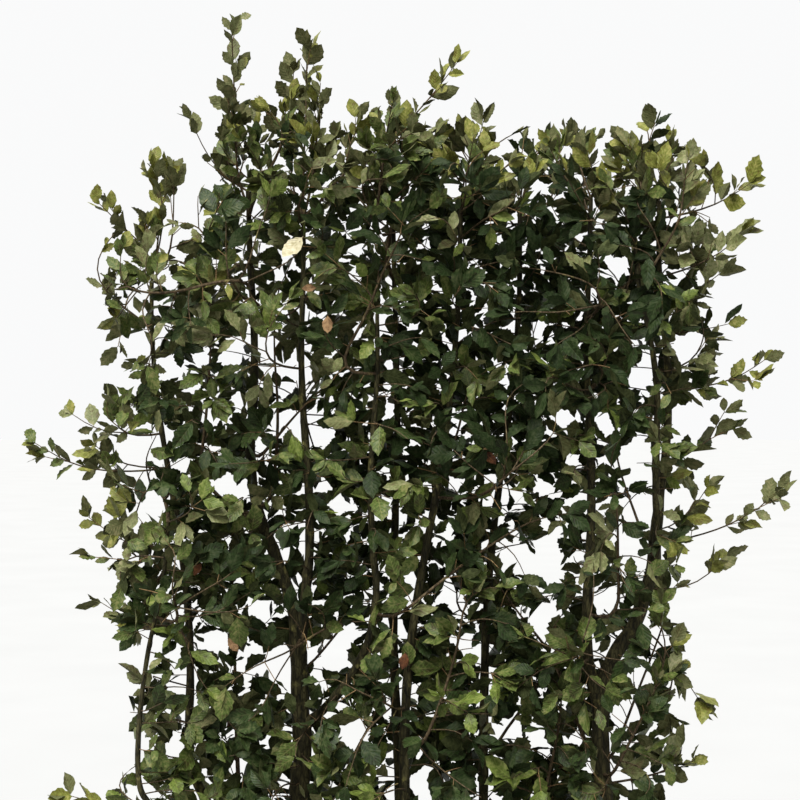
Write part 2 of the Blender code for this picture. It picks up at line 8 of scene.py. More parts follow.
import bpy
import numpy as np
from mathutils.kdtree import KDTree
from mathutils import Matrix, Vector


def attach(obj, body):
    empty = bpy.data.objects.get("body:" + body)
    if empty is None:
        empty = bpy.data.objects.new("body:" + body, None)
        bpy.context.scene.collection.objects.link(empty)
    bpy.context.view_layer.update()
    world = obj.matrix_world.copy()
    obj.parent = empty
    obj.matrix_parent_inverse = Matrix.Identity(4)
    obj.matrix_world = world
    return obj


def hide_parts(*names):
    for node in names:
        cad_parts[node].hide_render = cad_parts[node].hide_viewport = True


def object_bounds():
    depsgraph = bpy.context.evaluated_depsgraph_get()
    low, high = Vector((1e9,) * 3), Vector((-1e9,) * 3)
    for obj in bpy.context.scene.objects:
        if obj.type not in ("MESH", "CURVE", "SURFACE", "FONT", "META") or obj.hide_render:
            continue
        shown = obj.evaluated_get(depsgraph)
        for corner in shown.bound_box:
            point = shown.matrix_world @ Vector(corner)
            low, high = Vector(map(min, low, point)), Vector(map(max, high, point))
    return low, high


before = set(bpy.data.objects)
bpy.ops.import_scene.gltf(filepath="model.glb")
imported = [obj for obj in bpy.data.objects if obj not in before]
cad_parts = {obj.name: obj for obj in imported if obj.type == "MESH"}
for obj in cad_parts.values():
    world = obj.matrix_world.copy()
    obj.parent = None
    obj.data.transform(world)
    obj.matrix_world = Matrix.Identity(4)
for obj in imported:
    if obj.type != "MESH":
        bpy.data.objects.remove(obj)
cad_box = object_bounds()
cad_low, cad_high = (np.array(corner) for corner in cad_box)

# The trunk is the low butt that every stem springs from. It is green holm oak wood in cracked bark,
# spread into five root lobes where it meets the ground, and sawn flat there.
TRUNK_HEIGHTS = (0.0, 0.012, 0.030, 0.060, 0.100, 0.135, 0.155, 0.165)
TRUNK_DOME = (1.0, 1.0, 1.0, 1.0, 1.0, 0.93, 0.72, 0.36)
TRUNK_NECK = 0.062
TRUNK_FLARE = 0.050
TRUNK_FLARE_HEIGHT = 0.035
TRUNK_RELIEF = 0.025
ROOT_LOBES = 5
ROOT_LOBE_SHARES = (0.75, 0.35)
ROOT_LOBE_TURN = 0.6
TRUNK_ROWS = 46
TRUNK_SIDES = 120
BARK_CREASE = 60.0

# Bark's colours, and the widths in metres of its cracks and lichen patches
BARK_DARK = "#12120c"
BARK_OLIVE = "#2c2918"
BARK_GREY = "#4b472d"
LICHEN = "#7a7443"
CRACK_WIDTH = 0.004
LICHEN_WIDTH = 0.030
BARK_ROUGHNESS = 0.82
BARK_GLOSS = 0.12


def linear(code):
    """A Principled colour from an sRGB hex code."""
    parts = [int(code[k : k + 2], 16) / 255.0 for k in (1, 3, 5)]
    return (*(p / 12.92 if p <= 0.04045 else ((p + 0.055) / 1.055) ** 2.4 for p in parts), 1.0)


def add_node(material, kind, settings=(), values=(), links=()):
    """Adds a node with its settings, its sockets' values and the links into it."""
    node = material.node_tree.nodes.new(kind)
    for name, value in dict(settings).items():
        setattr(node, name, value)
    for socket, value in dict(values).items():
        node.inputs[socket].default_value = value
    for socket, source in dict(links).items():
        material.node_tree.links.new(source, node.inputs[socket])
    return node


def colour_ramp(material, factor, stops):
    """A ramp of colours driven by a factor, from pairs of place and hex code."""
    node = add_node(material, "ShaderNodeValToRGB", links={"Fac": factor})
    ramp = node.color_ramp
    for k, (place, code) in enumerate(stops):
        stop = ramp.elements[k] if k < 2 else ramp.elements.new(place)
        stop.position = place
        stop.color = linear(code)
    return node.outputs["Color"]


def new_material(name, roughness):
    """A material whose Principled shader has that roughness, with the shader and its output."""
    material = bpy.data.materials.new(name)
    material.use_nodes = True
    shader = material.node_tree.nodes["Principled BSDF"]
    shader.inputs["Roughness"].default_value = roughness
    return material, shader


def holm_oak_bark(name, dark, middle, light, crack_width, depth):
    """Dull bark, mottled from dark to light in upright streaks, with fine cracks and lichen on it."""
    material, shader = new_material(name, BARK_ROUGHNESS)
    shader.inputs["Specular IOR Level"].default_value = BARK_GLOSS
    place = add_node(material, "ShaderNodeTexCoord").outputs["Object"]
    streaked = add_node(
        material, "ShaderNodeMapping", values={"Scale": (1.0, 1.0, 0.28)}, links={"Vector": place}
    ).outputs["Vector"]
    streaks = add_node(
        material, "ShaderNodeTexNoise",
        values={"Scale": 0.35 / crack_width, "Detail": 5.0, "Roughness": 0.62},
        links={"Vector": streaked},
    ).outputs["Fac"]
    cracks = add_node(
        material, "ShaderNodeTexVoronoi", settings={"feature": "DISTANCE_TO_EDGE"},
        values={"Scale": 0.5 / crack_width}, links={"Vector": streaked},
    ).outputs["Distance"]
    patches = add_node(
        material, "ShaderNodeTexNoise", values={"Scale": 1.0 / LICHEN_WIDTH, "Detail": 4.0},
        links={"Vector": place},
    ).outputs["Fac"]
    bark = colour_ramp(material, streaks, ((0.30, dark), (0.72, light), (0.50, middle)))
    spread = add_node(
        material, "ShaderNodeMapRange",
        values={"From Min": 0.60, "From Max": 0.72, "To Max": 0.65}, links={"Value": patches},
    ).outputs["Result"]
    grown = add_node(
        material, "ShaderNodeMix", settings={"data_type": "RGBA"},
        values={7: linear(LICHEN)}, links={0: spread, 6: bark},
    ).outputs[2]
    # The cracks are darkened towards their middles: painted shade in the bark's recesses.
    split = add_node(
        material, "ShaderNodeMapRange",
        values={"From Max": 0.12, "To Min": 0.35}, links={"Value": cracks},
    ).outputs["Result"]
    shaded = add_node(
        material, "ShaderNodeMix", settings={"data_type": "RGBA", "blend_type": "MULTIPLY"},
        values={0: 1.0}, links={6: grown, 7: split},
    ).outputs[2]
    relief = add_node(
        material, "ShaderNodeMath", settings={"operation": "ADD"}, links={0: streaks, 1: split}
    ).outputs["Value"]
    bump = add_node(
        material, "ShaderNodeBump", values={"Strength": 0.7, "Distance": depth},
        links={"Height": relief},
    ).outputs["Normal"]
    material.node_tree.links.new(shaded, shader.inputs["Base Color"])
    material.node_tree.links.new(bump, shader.inputs["Normal"])
    return material


# Bark of a few years' growth, olive brown to grey and dull, darkened in its cracks as painted shade,
# yellow with lichen
stem_bark = holm_oak_bark("holm_oak_bark", BARK_DARK, BARK_OLIVE, BARK_GREY, CRACK_WIDTH, 0.0012)


def make_piece(name, points, faces, materials, sharp_angle, slots=None, leaf_map=None):
    """A smooth mesh object from arrays of points and triangles, creased where faces turn sharply.
    Slots give each triangle its material, and the leaf map each point its place on the blade."""
    mesh = bpy.data.meshes.new(name)
    mesh.from_pydata(points, [], faces)
    for material in materials:
        mesh.materials.append(material)
    if slots is not None:
        mesh.polygons.foreach_set("material_index", slots)
    if leaf_map is not None:
        layer = mesh.uv_layers.new(name="blade")
        layer.data.foreach_set("uv", leaf_map[faces.ravel()].ravel())
    mesh.shade_smooth()
    mesh.set_sharp_from_angle(angle=math.radians(sharp_angle))
    mesh.update()
    piece = bpy.data.objects.new(name, mesh)
    bpy.context.scene.collection.objects.link(piece)
    return piece


def closed_tube(grid):
    """Points and triangles over a grid of rings by sides, closed by a fan at each end."""
    rings, sides = grid.shape[:2]
    low = np.arange(rings - 1)[:, None] * sides
    here = np.arange(sides)[None, :]
    after = (here + 1) % sides
    a, b = low + here, low + after
    walls = np.stack([np.stack([a, b, b + sides], -1), np.stack([a, b + sides, a + sides], -1)])
    points = np.concatenate([grid.reshape(-1, 3), grid[:1].mean(axis=1), grid[-1:].mean(axis=1)])
    foot, tip = rings * sides, rings * sides + 1
    last = (rings - 1) * sides
    bottom = np.stack([np.full(sides, foot), after[0], here[0]], -1)
    top = np.stack([np.full(sides, tip), last + here[0], last + after[0]], -1)
    return points, np.concatenate([walls.reshape(-1, 3), bottom, top])


def joined(shapes):
    """Several shapes' points and triangles as one pair of arrays."""
    starts = np.cumsum([0] + [len(points) for points, _ in shapes])
    return (
        np.concatenate([points for points, _ in shapes]),
        np.concatenate([faces + start for (_, faces), start in zip(shapes, starts)]),
    )


# Bark ridges: how many stand round the wood, with the share of each, and how they wander along it
RIPPLES = ((2, 0.20), (3, 0.25), (5, 0.20), (7, 0.15), (11, 0.12), (16, 0.08))
RIPPLE_DRIFTS = (4.0, 22.0)
RIPPLE_SWAYS = (12.0, 40.0)
RIPPLE_SWAY = 0.9
ANY_PHASE = 6.3


def ripple(turn, length, rng):
    """Bark relief from -1 to 1: the sum of sine waves round the wood, each with its own share, that
    drift along it and sway as they go."""
    waves = np.zeros(np.broadcast(turn, length).shape)
    for count, share in RIPPLES:
        drift = rng.uniform(*RIPPLE_DRIFTS) * rng.choice((-1.0, 1.0))
        sway = RIPPLE_SWAY * np.sin(rng.uniform(*RIPPLE_SWAYS) * length + rng.uniform(0.0, ANY_PHASE))
        phase = rng.uniform(0.0, ANY_PHASE)
        waves = waves + share * np.sin(count * turn + drift * length + sway + phase)
    return waves


def trunk_grid(rng):
    """Rings of the trunk: its neck's radius, plus a flare that fades with height, most on each lobe."""
    height = np.linspace(0.0, TRUNK_HEIGHTS[-1], TRUNK_ROWS)[:, None]
    turn = (np.arange(TRUNK_SIDES) * 2.0 * math.pi / TRUNK_SIDES)[None, :]
    flare = TRUNK_FLARE * np.exp(-height / TRUNK_FLARE_HEIGHT)
    lobe = ROOT_LOBE_SHARES[0] + ROOT_LOBE_SHARES[1] * np.cos(ROOT_LOBES * turn + ROOT_LOBE_TURN)
    dome = np.interp(height, TRUNK_HEIGHTS, TRUNK_DOME)
    relief = 1.0 + TRUNK_RELIEF * ripple(turn, height, rng)
    radius = (TRUNK_NECK + flare * lobe) * dome * relief
    return np.stack(np.broadcast_arrays(radius * np.cos(turn), radius * np.sin(turn), height), -1)


relief_rng = np.random.default_rng(5)
trunk = make_piece(
    "bark_trunk", *closed_tube(trunk_grid(relief_rng)), [stem_bark], BARK_CREASE
)
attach(trunk, "root")
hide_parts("trunk")

# The stems and boughs are slender upright wood, trained side by side. Each swells into a collar where
# it leaves its carrier, and has knots where twigs were cut or shed.
LIMB_RING_STEP = 0.15
LIMB_SWAY = 0.010
LIMB_SWAY_TURNS = (9.0, 7.0)
LIMB_LEAN = 0.60
LIMB_LEAN_HEIGHT = 0.40
LIMB_BOW = 0.35
LIMB_UPPER_BOW = 0.33
LIMB_TAPER_POWER = 0.85
STEM_FOOT_SIDE = 0.030
STEM_FOOT_DEPTH = 0.055
FORK_SWELL = 0.30
FORK_SWELL_LENGTH = 0.035
RING_SPACING = 0.0065
LIMB_SIDES = 18
LIMB_RELIEF = 0.055
LIMB_SWELL = 0.05
LIMB_SWELL_TURNS = 61.0
KNOT_SPACING = 0.085
KNOT_WIDTH = 0.008
KNOT_HEIGHTS = (0.10, 0.32)
KNOT_ROUNDNESS = 3.5
KNOT_LOWEST = 0.03

# Each limb: its carrier and the height it leaves at, the place it turns upright, its top, and the
# radii of its foot and top. The same values shape the solids.
LIMBS = {
    "stem_left": ("trunk", 0.09, (-0.315, 0.01, 0.52), (-0.318, 0.01, 0.86), 0.0250, 0.0200),
    "stem_right": ("trunk", 0.09, (0.368, -0.01, 0.52), (0.360, 0.00, 0.79), 0.0240, 0.0195),
    "stem_middle": ("trunk", 0.10, (-0.078, -0.06, 0.54), (0.045, -0.04, 1.86), 0.0145, 0.0050),
    "stem_inner": ("trunk", 0.10, (-0.092, 0.07, 0.50), (-0.105, 0.05, 1.84), 0.0150, 0.0050),
    "stem_middle_right": (
        "trunk", 0.10, (0.092, 0.05, 0.50), (0.180, 0.02, 1.86), 0.0140, 0.0050
    ),
    "stem_outer_left": (
        "stem_left", 0.30, (-0.560, 0.03, 0.66), (-0.650, 0.02, 1.70), 0.0135, 0.0045
    ),
    "bough_far_left": (
        "stem_outer_left", 0.42, (-0.676, -0.06, 0.60), (-0.600, -0.07, 1.16), 0.0080, 0.0040
    ),
    "bough_left_upper": (
        "stem_left", 0.86, (-0.420, 0.03, 1.30), (-0.432, 0.02, 1.90), 0.0160, 0.0055
    ),
    "bough_left_inner": (
        "stem_left", 0.80, (-0.300, -0.03, 1.10), (-0.305, -0.02, 1.84), 0.0130, 0.0050
    ),
    "bough_front": (
        "stem_left", 0.69, (-0.150, -0.08, 1.00), (-0.140, -0.09, 1.62), 0.0110, 0.0045
    ),
    "bough_right_outer": (
        "stem_right", 0.79, (0.470, 0.02, 1.00), (0.484, 0.02, 1.11), 0.0165, 0.0150
    ),
    "bough_right_inner": (
        "stem_right", 0.73, (0.325, -0.03, 1.00), (0.336, -0.02, 1.88), 0.0135, 0.0050
    ),
    "bough_right_back": (
        "bough_right_outer", 1.11, (0.515, 0.05, 1.30), (0.495, 0.03, 1.88), 0.0125, 0.0050
    ),
    "bough_right_front": (
        "bough_right_outer", 1.06, (0.486, -0.05, 1.32), (0.430, -0.04, 1.80), 0.0105, 0.0045
    ),
}


def unit(vectors):
    """Vectors over their own lengths."""
    return vectors / np.maximum(np.linalg.norm(vectors, axis=-1, keepdims=True), 1e-9)


def curve(a, b, c, d, count):
    """Points on a cubic curve from a to d, drawn towards b and then c, without the first one."""
    t = (np.arange(1, count + 1) / count)[:, None]
    s = 1.0 - t
    return a * s**3 + b * (3.0 * s * s * t) + c * (3.0 * s * t * t) + d * t**3


def limb_route(limb, routes, rng):
    """The route of a limb: out from its carrier, upright at its own side, then up to its top."""
    carrier, leaves_at, turn, top = limb[0], limb[1], np.array(limb[2]), np.array(limb[3])
    up = np.array((0.0, 0.0, 1.0))
    ahead = None
    if carrier == "trunk":
        angle = math.atan2(turn[1], turn[0])
        foot = np.array((
            STEM_FOOT_SIDE * math.cos(angle), STEM_FOOT_DEPTH * math.sin(angle), leaves_at
        ))
    else:
        below = routes[carrier]
        if leaves_at >= below[-1][2]:
            foot = below[-1]
            ahead = unit(below[-1] - below[-2])
        else:
            near = below[np.argsort(np.abs(below[:, 2] - leaves_at))[:2]]
            share = (leaves_at - near[0][2]) / (near[1][2] - near[0][2])
            foot = near[0] + (near[1] - near[0]) * share
    rise = turn[2] - foot[2]
    if ahead is None:
        lean = np.array((turn[0], turn[1], foot[2] + LIMB_LEAN_HEIGHT * rise))
        out = foot + (lean - foot) * LIMB_LEAN
    else:
        out = foot + ahead * rise * LIMB_BOW
    lower = curve(
        foot, out, turn - up * rise * LIMB_BOW, turn,
        max(3, math.ceil(np.linalg.norm(turn - foot) / LIMB_RING_STEP)),
    )
    bow = up * (top[2] - turn[2]) * LIMB_UPPER_BOW
    upper_count = max(2, math.ceil((top[2] - turn[2]) / LIMB_RING_STEP))
    upper = curve(turn, turn + bow, top - bow, top, upper_count)
    route = np.concatenate([foot[None], lower, upper])
    phase = rng.uniform(0.0, 2.0 * math.pi, 2)
    share = np.linspace(0.0, 1.0, len(route))
    sway = LIMB_SWAY * np.sin(math.pi * share)
    for axis, turns in enumerate(LIMB_SWAY_TURNS):
        route[:, axis] += sway * np.sin(turns * share + phase[axis])
    return route


def smoothed(route, spacing):
    """A Catmull-Rom curve through a route at even steps, and how far along it each step lies."""
    run = np.concatenate([[0.0], np.cumsum(np.linalg.norm(np.diff(route, axis=0), axis=1))])
    steps = np.linspace(0.0, run[-1], max(4, int(run[-1] / spacing)))
    k = np.clip(np.searchsorted(run, steps, side="right") - 1, 0, len(route) - 2)
    t = ((steps - run[k]) / (run[k + 1] - run[k]))[:, None]
    ends = np.concatenate([2.0 * route[:1] - route[1:2], route, 2.0 * route[-1:] - route[-2:-1]])
    p0, p1, p2, p3 = ends[k], ends[k + 1], ends[k + 2], ends[k + 3]
    bend = (2.0 * p0 - 5.0 * p1 + 4.0 * p2 - p3) * t**2 + (3.0 * p1 - p0 - 3.0 * p2 + p3) * t**3
    return 0.5 * (2.0 * p1 + (p2 - p0) * t + bend), steps


def rings_round(route, radii, sides, swell=0.0):
    """Rings square to a route, each of its radius, made larger or smaller by the share in swell."""
    along = unit(np.gradient(route, axis=0))
    lay = np.where(np.abs(along[:, 1:2]) > 0.9, (1.0, 0.0, 0.0), (0.0, 1.0, 0.0))
    side = unit(np.cross(lay, along))
    across = np.cross(along, side)
    turn = (np.arange(sides) * 2.0 * math.pi / sides)[None, :, None]
    out = side[:, None] * np.cos(turn) + across[:, None] * np.sin(turn)
    wide = (radii[:, None] * (1.0 + swell))[..., None]
    return route[:, None] + out * wide


def knots(turn, length, rng):
    """Low round knots strewn over the bark, each a bell that fades with the distance from it."""
    raised = np.zeros(np.broadcast(turn, length).shape)
    for _ in range(int(length.max() / KNOT_SPACING)):
        spot, way = rng.uniform(KNOT_LOWEST, length.max()), rng.uniform(0.0, 2.0 * math.pi)
        fading = ((length - spot) / KNOT_WIDTH) ** 2 + KNOT_ROUNDNESS * (1.0 - np.cos(turn - way))
        raised += rng.uniform(*KNOT_HEIGHTS) * np.exp(-fading)
    return raised


def limb_radii(limb, length):
    """Radii that taper to the top by a power of the length, with the collar that a fork grows."""
    share = length / length[-1]
    taper = limb[4] + (limb[5] - limb[4]) * share**LIMB_TAPER_POWER
    return taper * (1.0 + FORK_SWELL * np.exp(-length / FORK_SWELL_LENGTH))


growth_rng = np.random.default_rng(11)
coarse_routes = {}
limb_routes = {}
limb_shapes = {}
for limb_name, limb in LIMBS.items():
    coarse_routes[limb_name] = limb_route(limb, coarse_routes, growth_rng)
    fine, length = smoothed(coarse_routes[limb_name], RING_SPACING)
    thick = limb_radii(limb, length)
    limb_routes[limb_name] = (fine, thick)
    turns = (np.arange(LIMB_SIDES) * 2.0 * math.pi / LIMB_SIDES)[None, :]
    swell = LIMB_RELIEF * ripple(turns, length[:, None], relief_rng)
    swell = swell + knots(turns, length[:, None], relief_rng)
    wave = np.sin(length * LIMB_SWELL_TURNS + relief_rng.uniform(0.0, ANY_PHASE))
    swell = swell + LIMB_SWELL * wave[:, None]
    limb_shapes[limb_name] = closed_tube(rings_round(fine, thick, LIMB_SIDES, swell))
for group in ("stem", "bough"):
    members = [limb_name for limb_name in LIMBS if limb_name.startswith(group)]
    wood = make_piece(
        f"bark_{group}s", *joined([limb_shapes[m] for m in members]), [stem_bark], BARK_CREASE
    )
    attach(wood, "root")
    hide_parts(*members)

# The crown is the space that twigs and leaves fill: a flat screen with a ragged edge, rounded off
# front and back, open in places, and long loose shoots that stand out of it.
EYE = np.array((-0.090, -4.0, 1.4305))
MIDDLE_DEPTH = -0.0125
HALF_DEPTH = 0.230
BULGE_MEAN = 0.82
BULGE_SWELL = 0.10
BULGE_WAVES = ((7.3, 4.1, 1.0), (-5.2, 9.7, 2.0))
BULGE_FRONT = 0.7
BULGE_BACK = 3.9
EDGE_ROUNDING = 0.11
EDGE_LEAST = 0.25
EDGE_INSET = 0.030
NEW_GROWTH_DEPTH = 0.26

# The crown's edges seen from the front: pairs of height and side, then of side and height
LEFT_EDGE = (
    (0.17, -0.68), (0.50, -0.73), (0.56, -0.755), (0.62, -0.72), (0.73, -0.725), (0.85, -0.725),
    (0.90, -0.74), (0.945, -0.73), (1.03, -0.755), (1.20, -0.755), (1.28, -0.765), (1.38, -0.765),
    (1.46, -0.76), (1.58, -0.765), (1.62, -0.78), (1.70, -0.79), (1.80, -0.785), (1.88, -0.72),
    (2.3, -0.60)
)
RIGHT_EDGE = (
    (0.17, 0.50), (0.40, 0.53), (0.56, 0.54), (0.66, 0.555), (0.73, 0.58), (0.80, 0.57),
    (0.95, 0.57), (1.10, 0.57), (1.22, 0.59), (1.36, 0.58), (1.44, 0.605), (1.50, 0.63),
    (1.56, 0.635), (1.62, 0.63), (1.69, 0.605), (1.78, 0.64), (1.85, 0.615), (1.93, 0.645), (2.3, 0.60)
)
TOP_EDGE = (
    (-0.80, 1.80), (-0.74, 1.85), (-0.66, 1.86), (-0.60, 1.88), (-0.565, 1.93), (-0.53, 1.98),
    (-0.505, 2.04), (-0.49, 2.14), (-0.43, 2.14), (-0.38, 2.09), (-0.345, 2.14), (-0.29, 2.17),
    (-0.25, 2.08), (-0.20, 2.035), (-0.165, 2.07), (-0.11, 2.14), (-0.07, 2.13), (-0.035, 2.06),
    (0.01, 2.065), (0.07, 2.08), (0.12, 2.02), (0.19, 2.045), (0.28, 2.07), (0.36, 2.045), (0.42, 2.045),
    (0.48, 2.07), (0.54, 2.04), (0.59, 2.01), (0.66, 1.92)
)
BOTTOM_EDGE = (
    (-0.74, 0.40), (-0.66, 0.29), (-0.56, 0.24), (-0.46, 0.20), (-0.34, 0.24), (-0.20, 0.18),
    (-0.06, 0.21), (0.08, 0.17), (0.20, 0.23), (0.32, 0.18), (0.42, 0.23), (0.50, 0.28),
    (0.58, 0.40)
)

# Open sky, as the side, height and radius of each window in the middle of the screen
WINDOWS = (
    (-0.585, 1.865, 0.030), (-0.420, 1.850, 0.015), (-0.552, 1.835, 0.012), (-0.200, 1.815, 0.012),
    (-0.190, 1.765, 0.010), (-0.715, 1.755, 0.010), (0.395, 1.730, 0.020), (-0.365, 1.705, 0.013),
    (0.215, 1.590, 0.015), (-0.455, 1.558, 0.013), (0.560, 1.550, 0.024), (-0.665, 1.545, 0.015),
    (-0.730, 1.540, 0.012), (-0.536, 1.527, 0.010), (-0.470, 1.525, 0.018), (0.470, 1.525, 0.015),
    (-0.594, 1.502, 0.011), (-0.330, 1.500, 0.018), (-0.735, 1.495, 0.016), (0.450, 1.480, 0.022),
    (-0.343, 1.460, 0.011), (-0.455, 1.430, 0.010), (0.280, 1.390, 0.015), (-0.340, 1.385, 0.018),
    (0.370, 1.375, 0.015), (0.555, 1.375, 0.018), (-0.280, 1.350, 0.020), (-0.665, 1.320, 0.028),
    (0.445, 1.310, 0.025), (-0.575, 1.285, 0.012), (0.437, 1.262, 0.011), (-0.480, 1.240, 0.020),
    (0.235, 1.235, 0.017), (0.545, 1.210, 0.014), (-0.640, 1.205, 0.015), (-0.225, 1.195, 0.017),
    (0.450, 1.185, 0.026), (-0.290, 1.120, 0.013), (0.415, 1.105, 0.020), (0.240, 1.100, 0.025),
    (0.170, 1.080, 0.022), (0.450, 1.065, 0.012), (0.205, 1.055, 0.015), (0.245, 1.045, 0.020),
    (0.025, 0.990, 0.018), (0.370, 0.985, 0.022), (-0.410, 0.965, 0.017), (0.220, 0.940, 0.021),
    (-0.200, 0.900, 0.012), (-0.640, 0.885, 0.014), (-0.505, 0.885, 0.020), (0.060, 0.880, 0.017),
    (0.400, 0.877, 0.015), (-0.240, 0.860, 0.024), (-0.680, 0.855, 0.020), (-0.365, 0.820, 0.015),
    (-0.270, 0.812, 0.012), (0.450, 0.810, 0.018), (-0.565, 0.795, 0.024), (0.405, 0.720, 0.022),
    (-0.190, 0.690, 0.024), (0.160, 0.690, 0.018), (0.215, 0.670, 0.016), (-0.680, 0.650, 0.018),
    (-0.610, 0.645, 0.015), (-0.115, 0.600, 0.017), (-0.050, 0.570, 0.018), (-0.665, 0.550, 0.016),
    (-0.112, 0.545, 0.018), (-0.025, 0.535, 0.014), (0.070, 0.440, 0.018), (-0.450, 0.360, 0.020),
    (0.240, 0.330, 0.020), (-0.120, 0.300, 0.020),
)

# Long shoots: where each leaves the screen's inside, its furthest tip, and how much of it has leaves
SHOOTS = (
    ((-0.46, 0.02, 1.86), (-0.466, -0.02, 2.285), 0.34),
    ((-0.31, -0.02, 1.82), (-0.300, 0.03, 2.225), 0.34),
    ((-0.29, 0.01, 1.86), (-0.268, -0.01, 2.140), 0.20),
    ((-0.34, 0.00, 1.86), (-0.330, 0.02, 2.175), 0.18),
    ((-0.13, 0.03, 2.02), (0.036, -0.02, 2.182), 0.20),
    ((-0.23, 0.04, 1.90), (-0.190, 0.01, 2.065), 0.14),
    ((0.05, 0.00, 1.86), (0.098, 0.02, 2.060), 0.14),
    ((-0.60, 0.02, 1.72), (-0.598, 0.00, 1.945), 0.14),
    ((-0.61, 0.00, 1.82), (-0.640, -0.02, 1.955), 0.09),
    ((-0.62, 0.01, 1.84), (-0.655, 0.02, 1.935), 0.07),
    ((-0.50, 0.03, 1.93), (-0.560, 0.00, 2.060), 0.06),
    ((-0.62, 0.02, 1.76), (-0.760, -0.06, 1.870), 0.15),
    ((-0.66, 0.06, 1.60), (-0.780, 0.03, 1.700), 0.06),
    ((-0.68, 0.01, 1.26), (-0.893, -0.07, 1.335), 0.19),
    ((-0.68, -0.03, 1.34), (-0.820, -0.02, 1.398), 0.14),
    ((-0.69, 0.03, 1.27), (-0.775, 0.00, 1.330), 0.07),
    ((-0.66, 0.03, 1.09), (-0.800, 0.06, 1.165), 0.13),
    ((-0.66, -0.05, 1.10), (-0.775, -0.07, 1.085), 0.06),
    ((-0.60, 0.00, 0.92), (-0.765, 0.02, 0.975), 0.10),
    ((-0.67, -0.05, 0.54), (-0.835, -0.02, 0.550), 0.17),
    ((0.56, 0.04, 1.85), (0.690, -0.04, 1.914), 0.08),
    ((0.55, -0.04, 1.72), (0.668, -0.06, 1.798), 0.08),
    ((0.54, 0.00, 1.66), (0.635, 0.00, 1.720), 0.08),
    ((0.55, 0.02, 1.59), (0.650, 0.02, 1.602), 0.06),
    ((0.44, -0.03, 1.86), (0.475, -0.05, 2.045), 0.14),
    ((0.55, 0.05, 1.45), (0.735, 0.03, 1.522), 0.20),
    ((0.56, 0.02, 1.49), (0.600, 0.00, 1.570), 0.08),
    ((0.54, 0.00, 1.28), (0.640, 0.01, 1.405), 0.17),
    ((0.55, 0.05, 1.105), (0.750, -0.04, 1.230), 0.17),
    ((0.53, 0.02, 1.13), (0.595, -0.02, 1.235), 0.11),
    ((0.53, 0.01, 0.99), (0.648, 0.03, 1.080), 0.09),
    ((0.50, 0.00, 0.90), (0.588, -0.03, 0.745), 0.14),
    ((0.48, 0.02, 0.58), (0.572, 0.00, 0.625), 0.10),
    ((-0.40, -0.12, 1.50), (-0.36, -0.225, 1.62), 0.09),
    ((0.10, -0.12, 1.20), (0.14, -0.230, 1.31), 0.09),
    ((0.36, -0.12, 1.62), (0.33, -0.225, 1.74), 0.09),
    ((-0.10, -0.12, 0.74), (-0.14, -0.225, 0.84), 0.09),
    ((0.30, -0.12, 0.84), (0.26, -0.230, 0.93), 0.09),
    ((-0.55, -0.12, 0.92), (-0.58, -0.220, 1.03), 0.09),
    ((-0.30, 0.10, 1.36), (-0.34, 0.210, 1.50), 0.09),
    ((0.20, 0.10, 1.50), (0.24, 0.205, 1.64), 0.09),
    ((0.02, 0.10, 0.92), (0.06, 0.205, 1.05), 0.09),
    ((0.42, 0.10, 1.00), (0.38, 0.200, 1.12), 0.09),
    ((-0.50, 0.10, 1.72), (-0.46, 0.200, 1.85), 0.09),
    ((-0.48, 0.10, 0.66), (-0.52, 0.200, 0.76), 0.09),
)

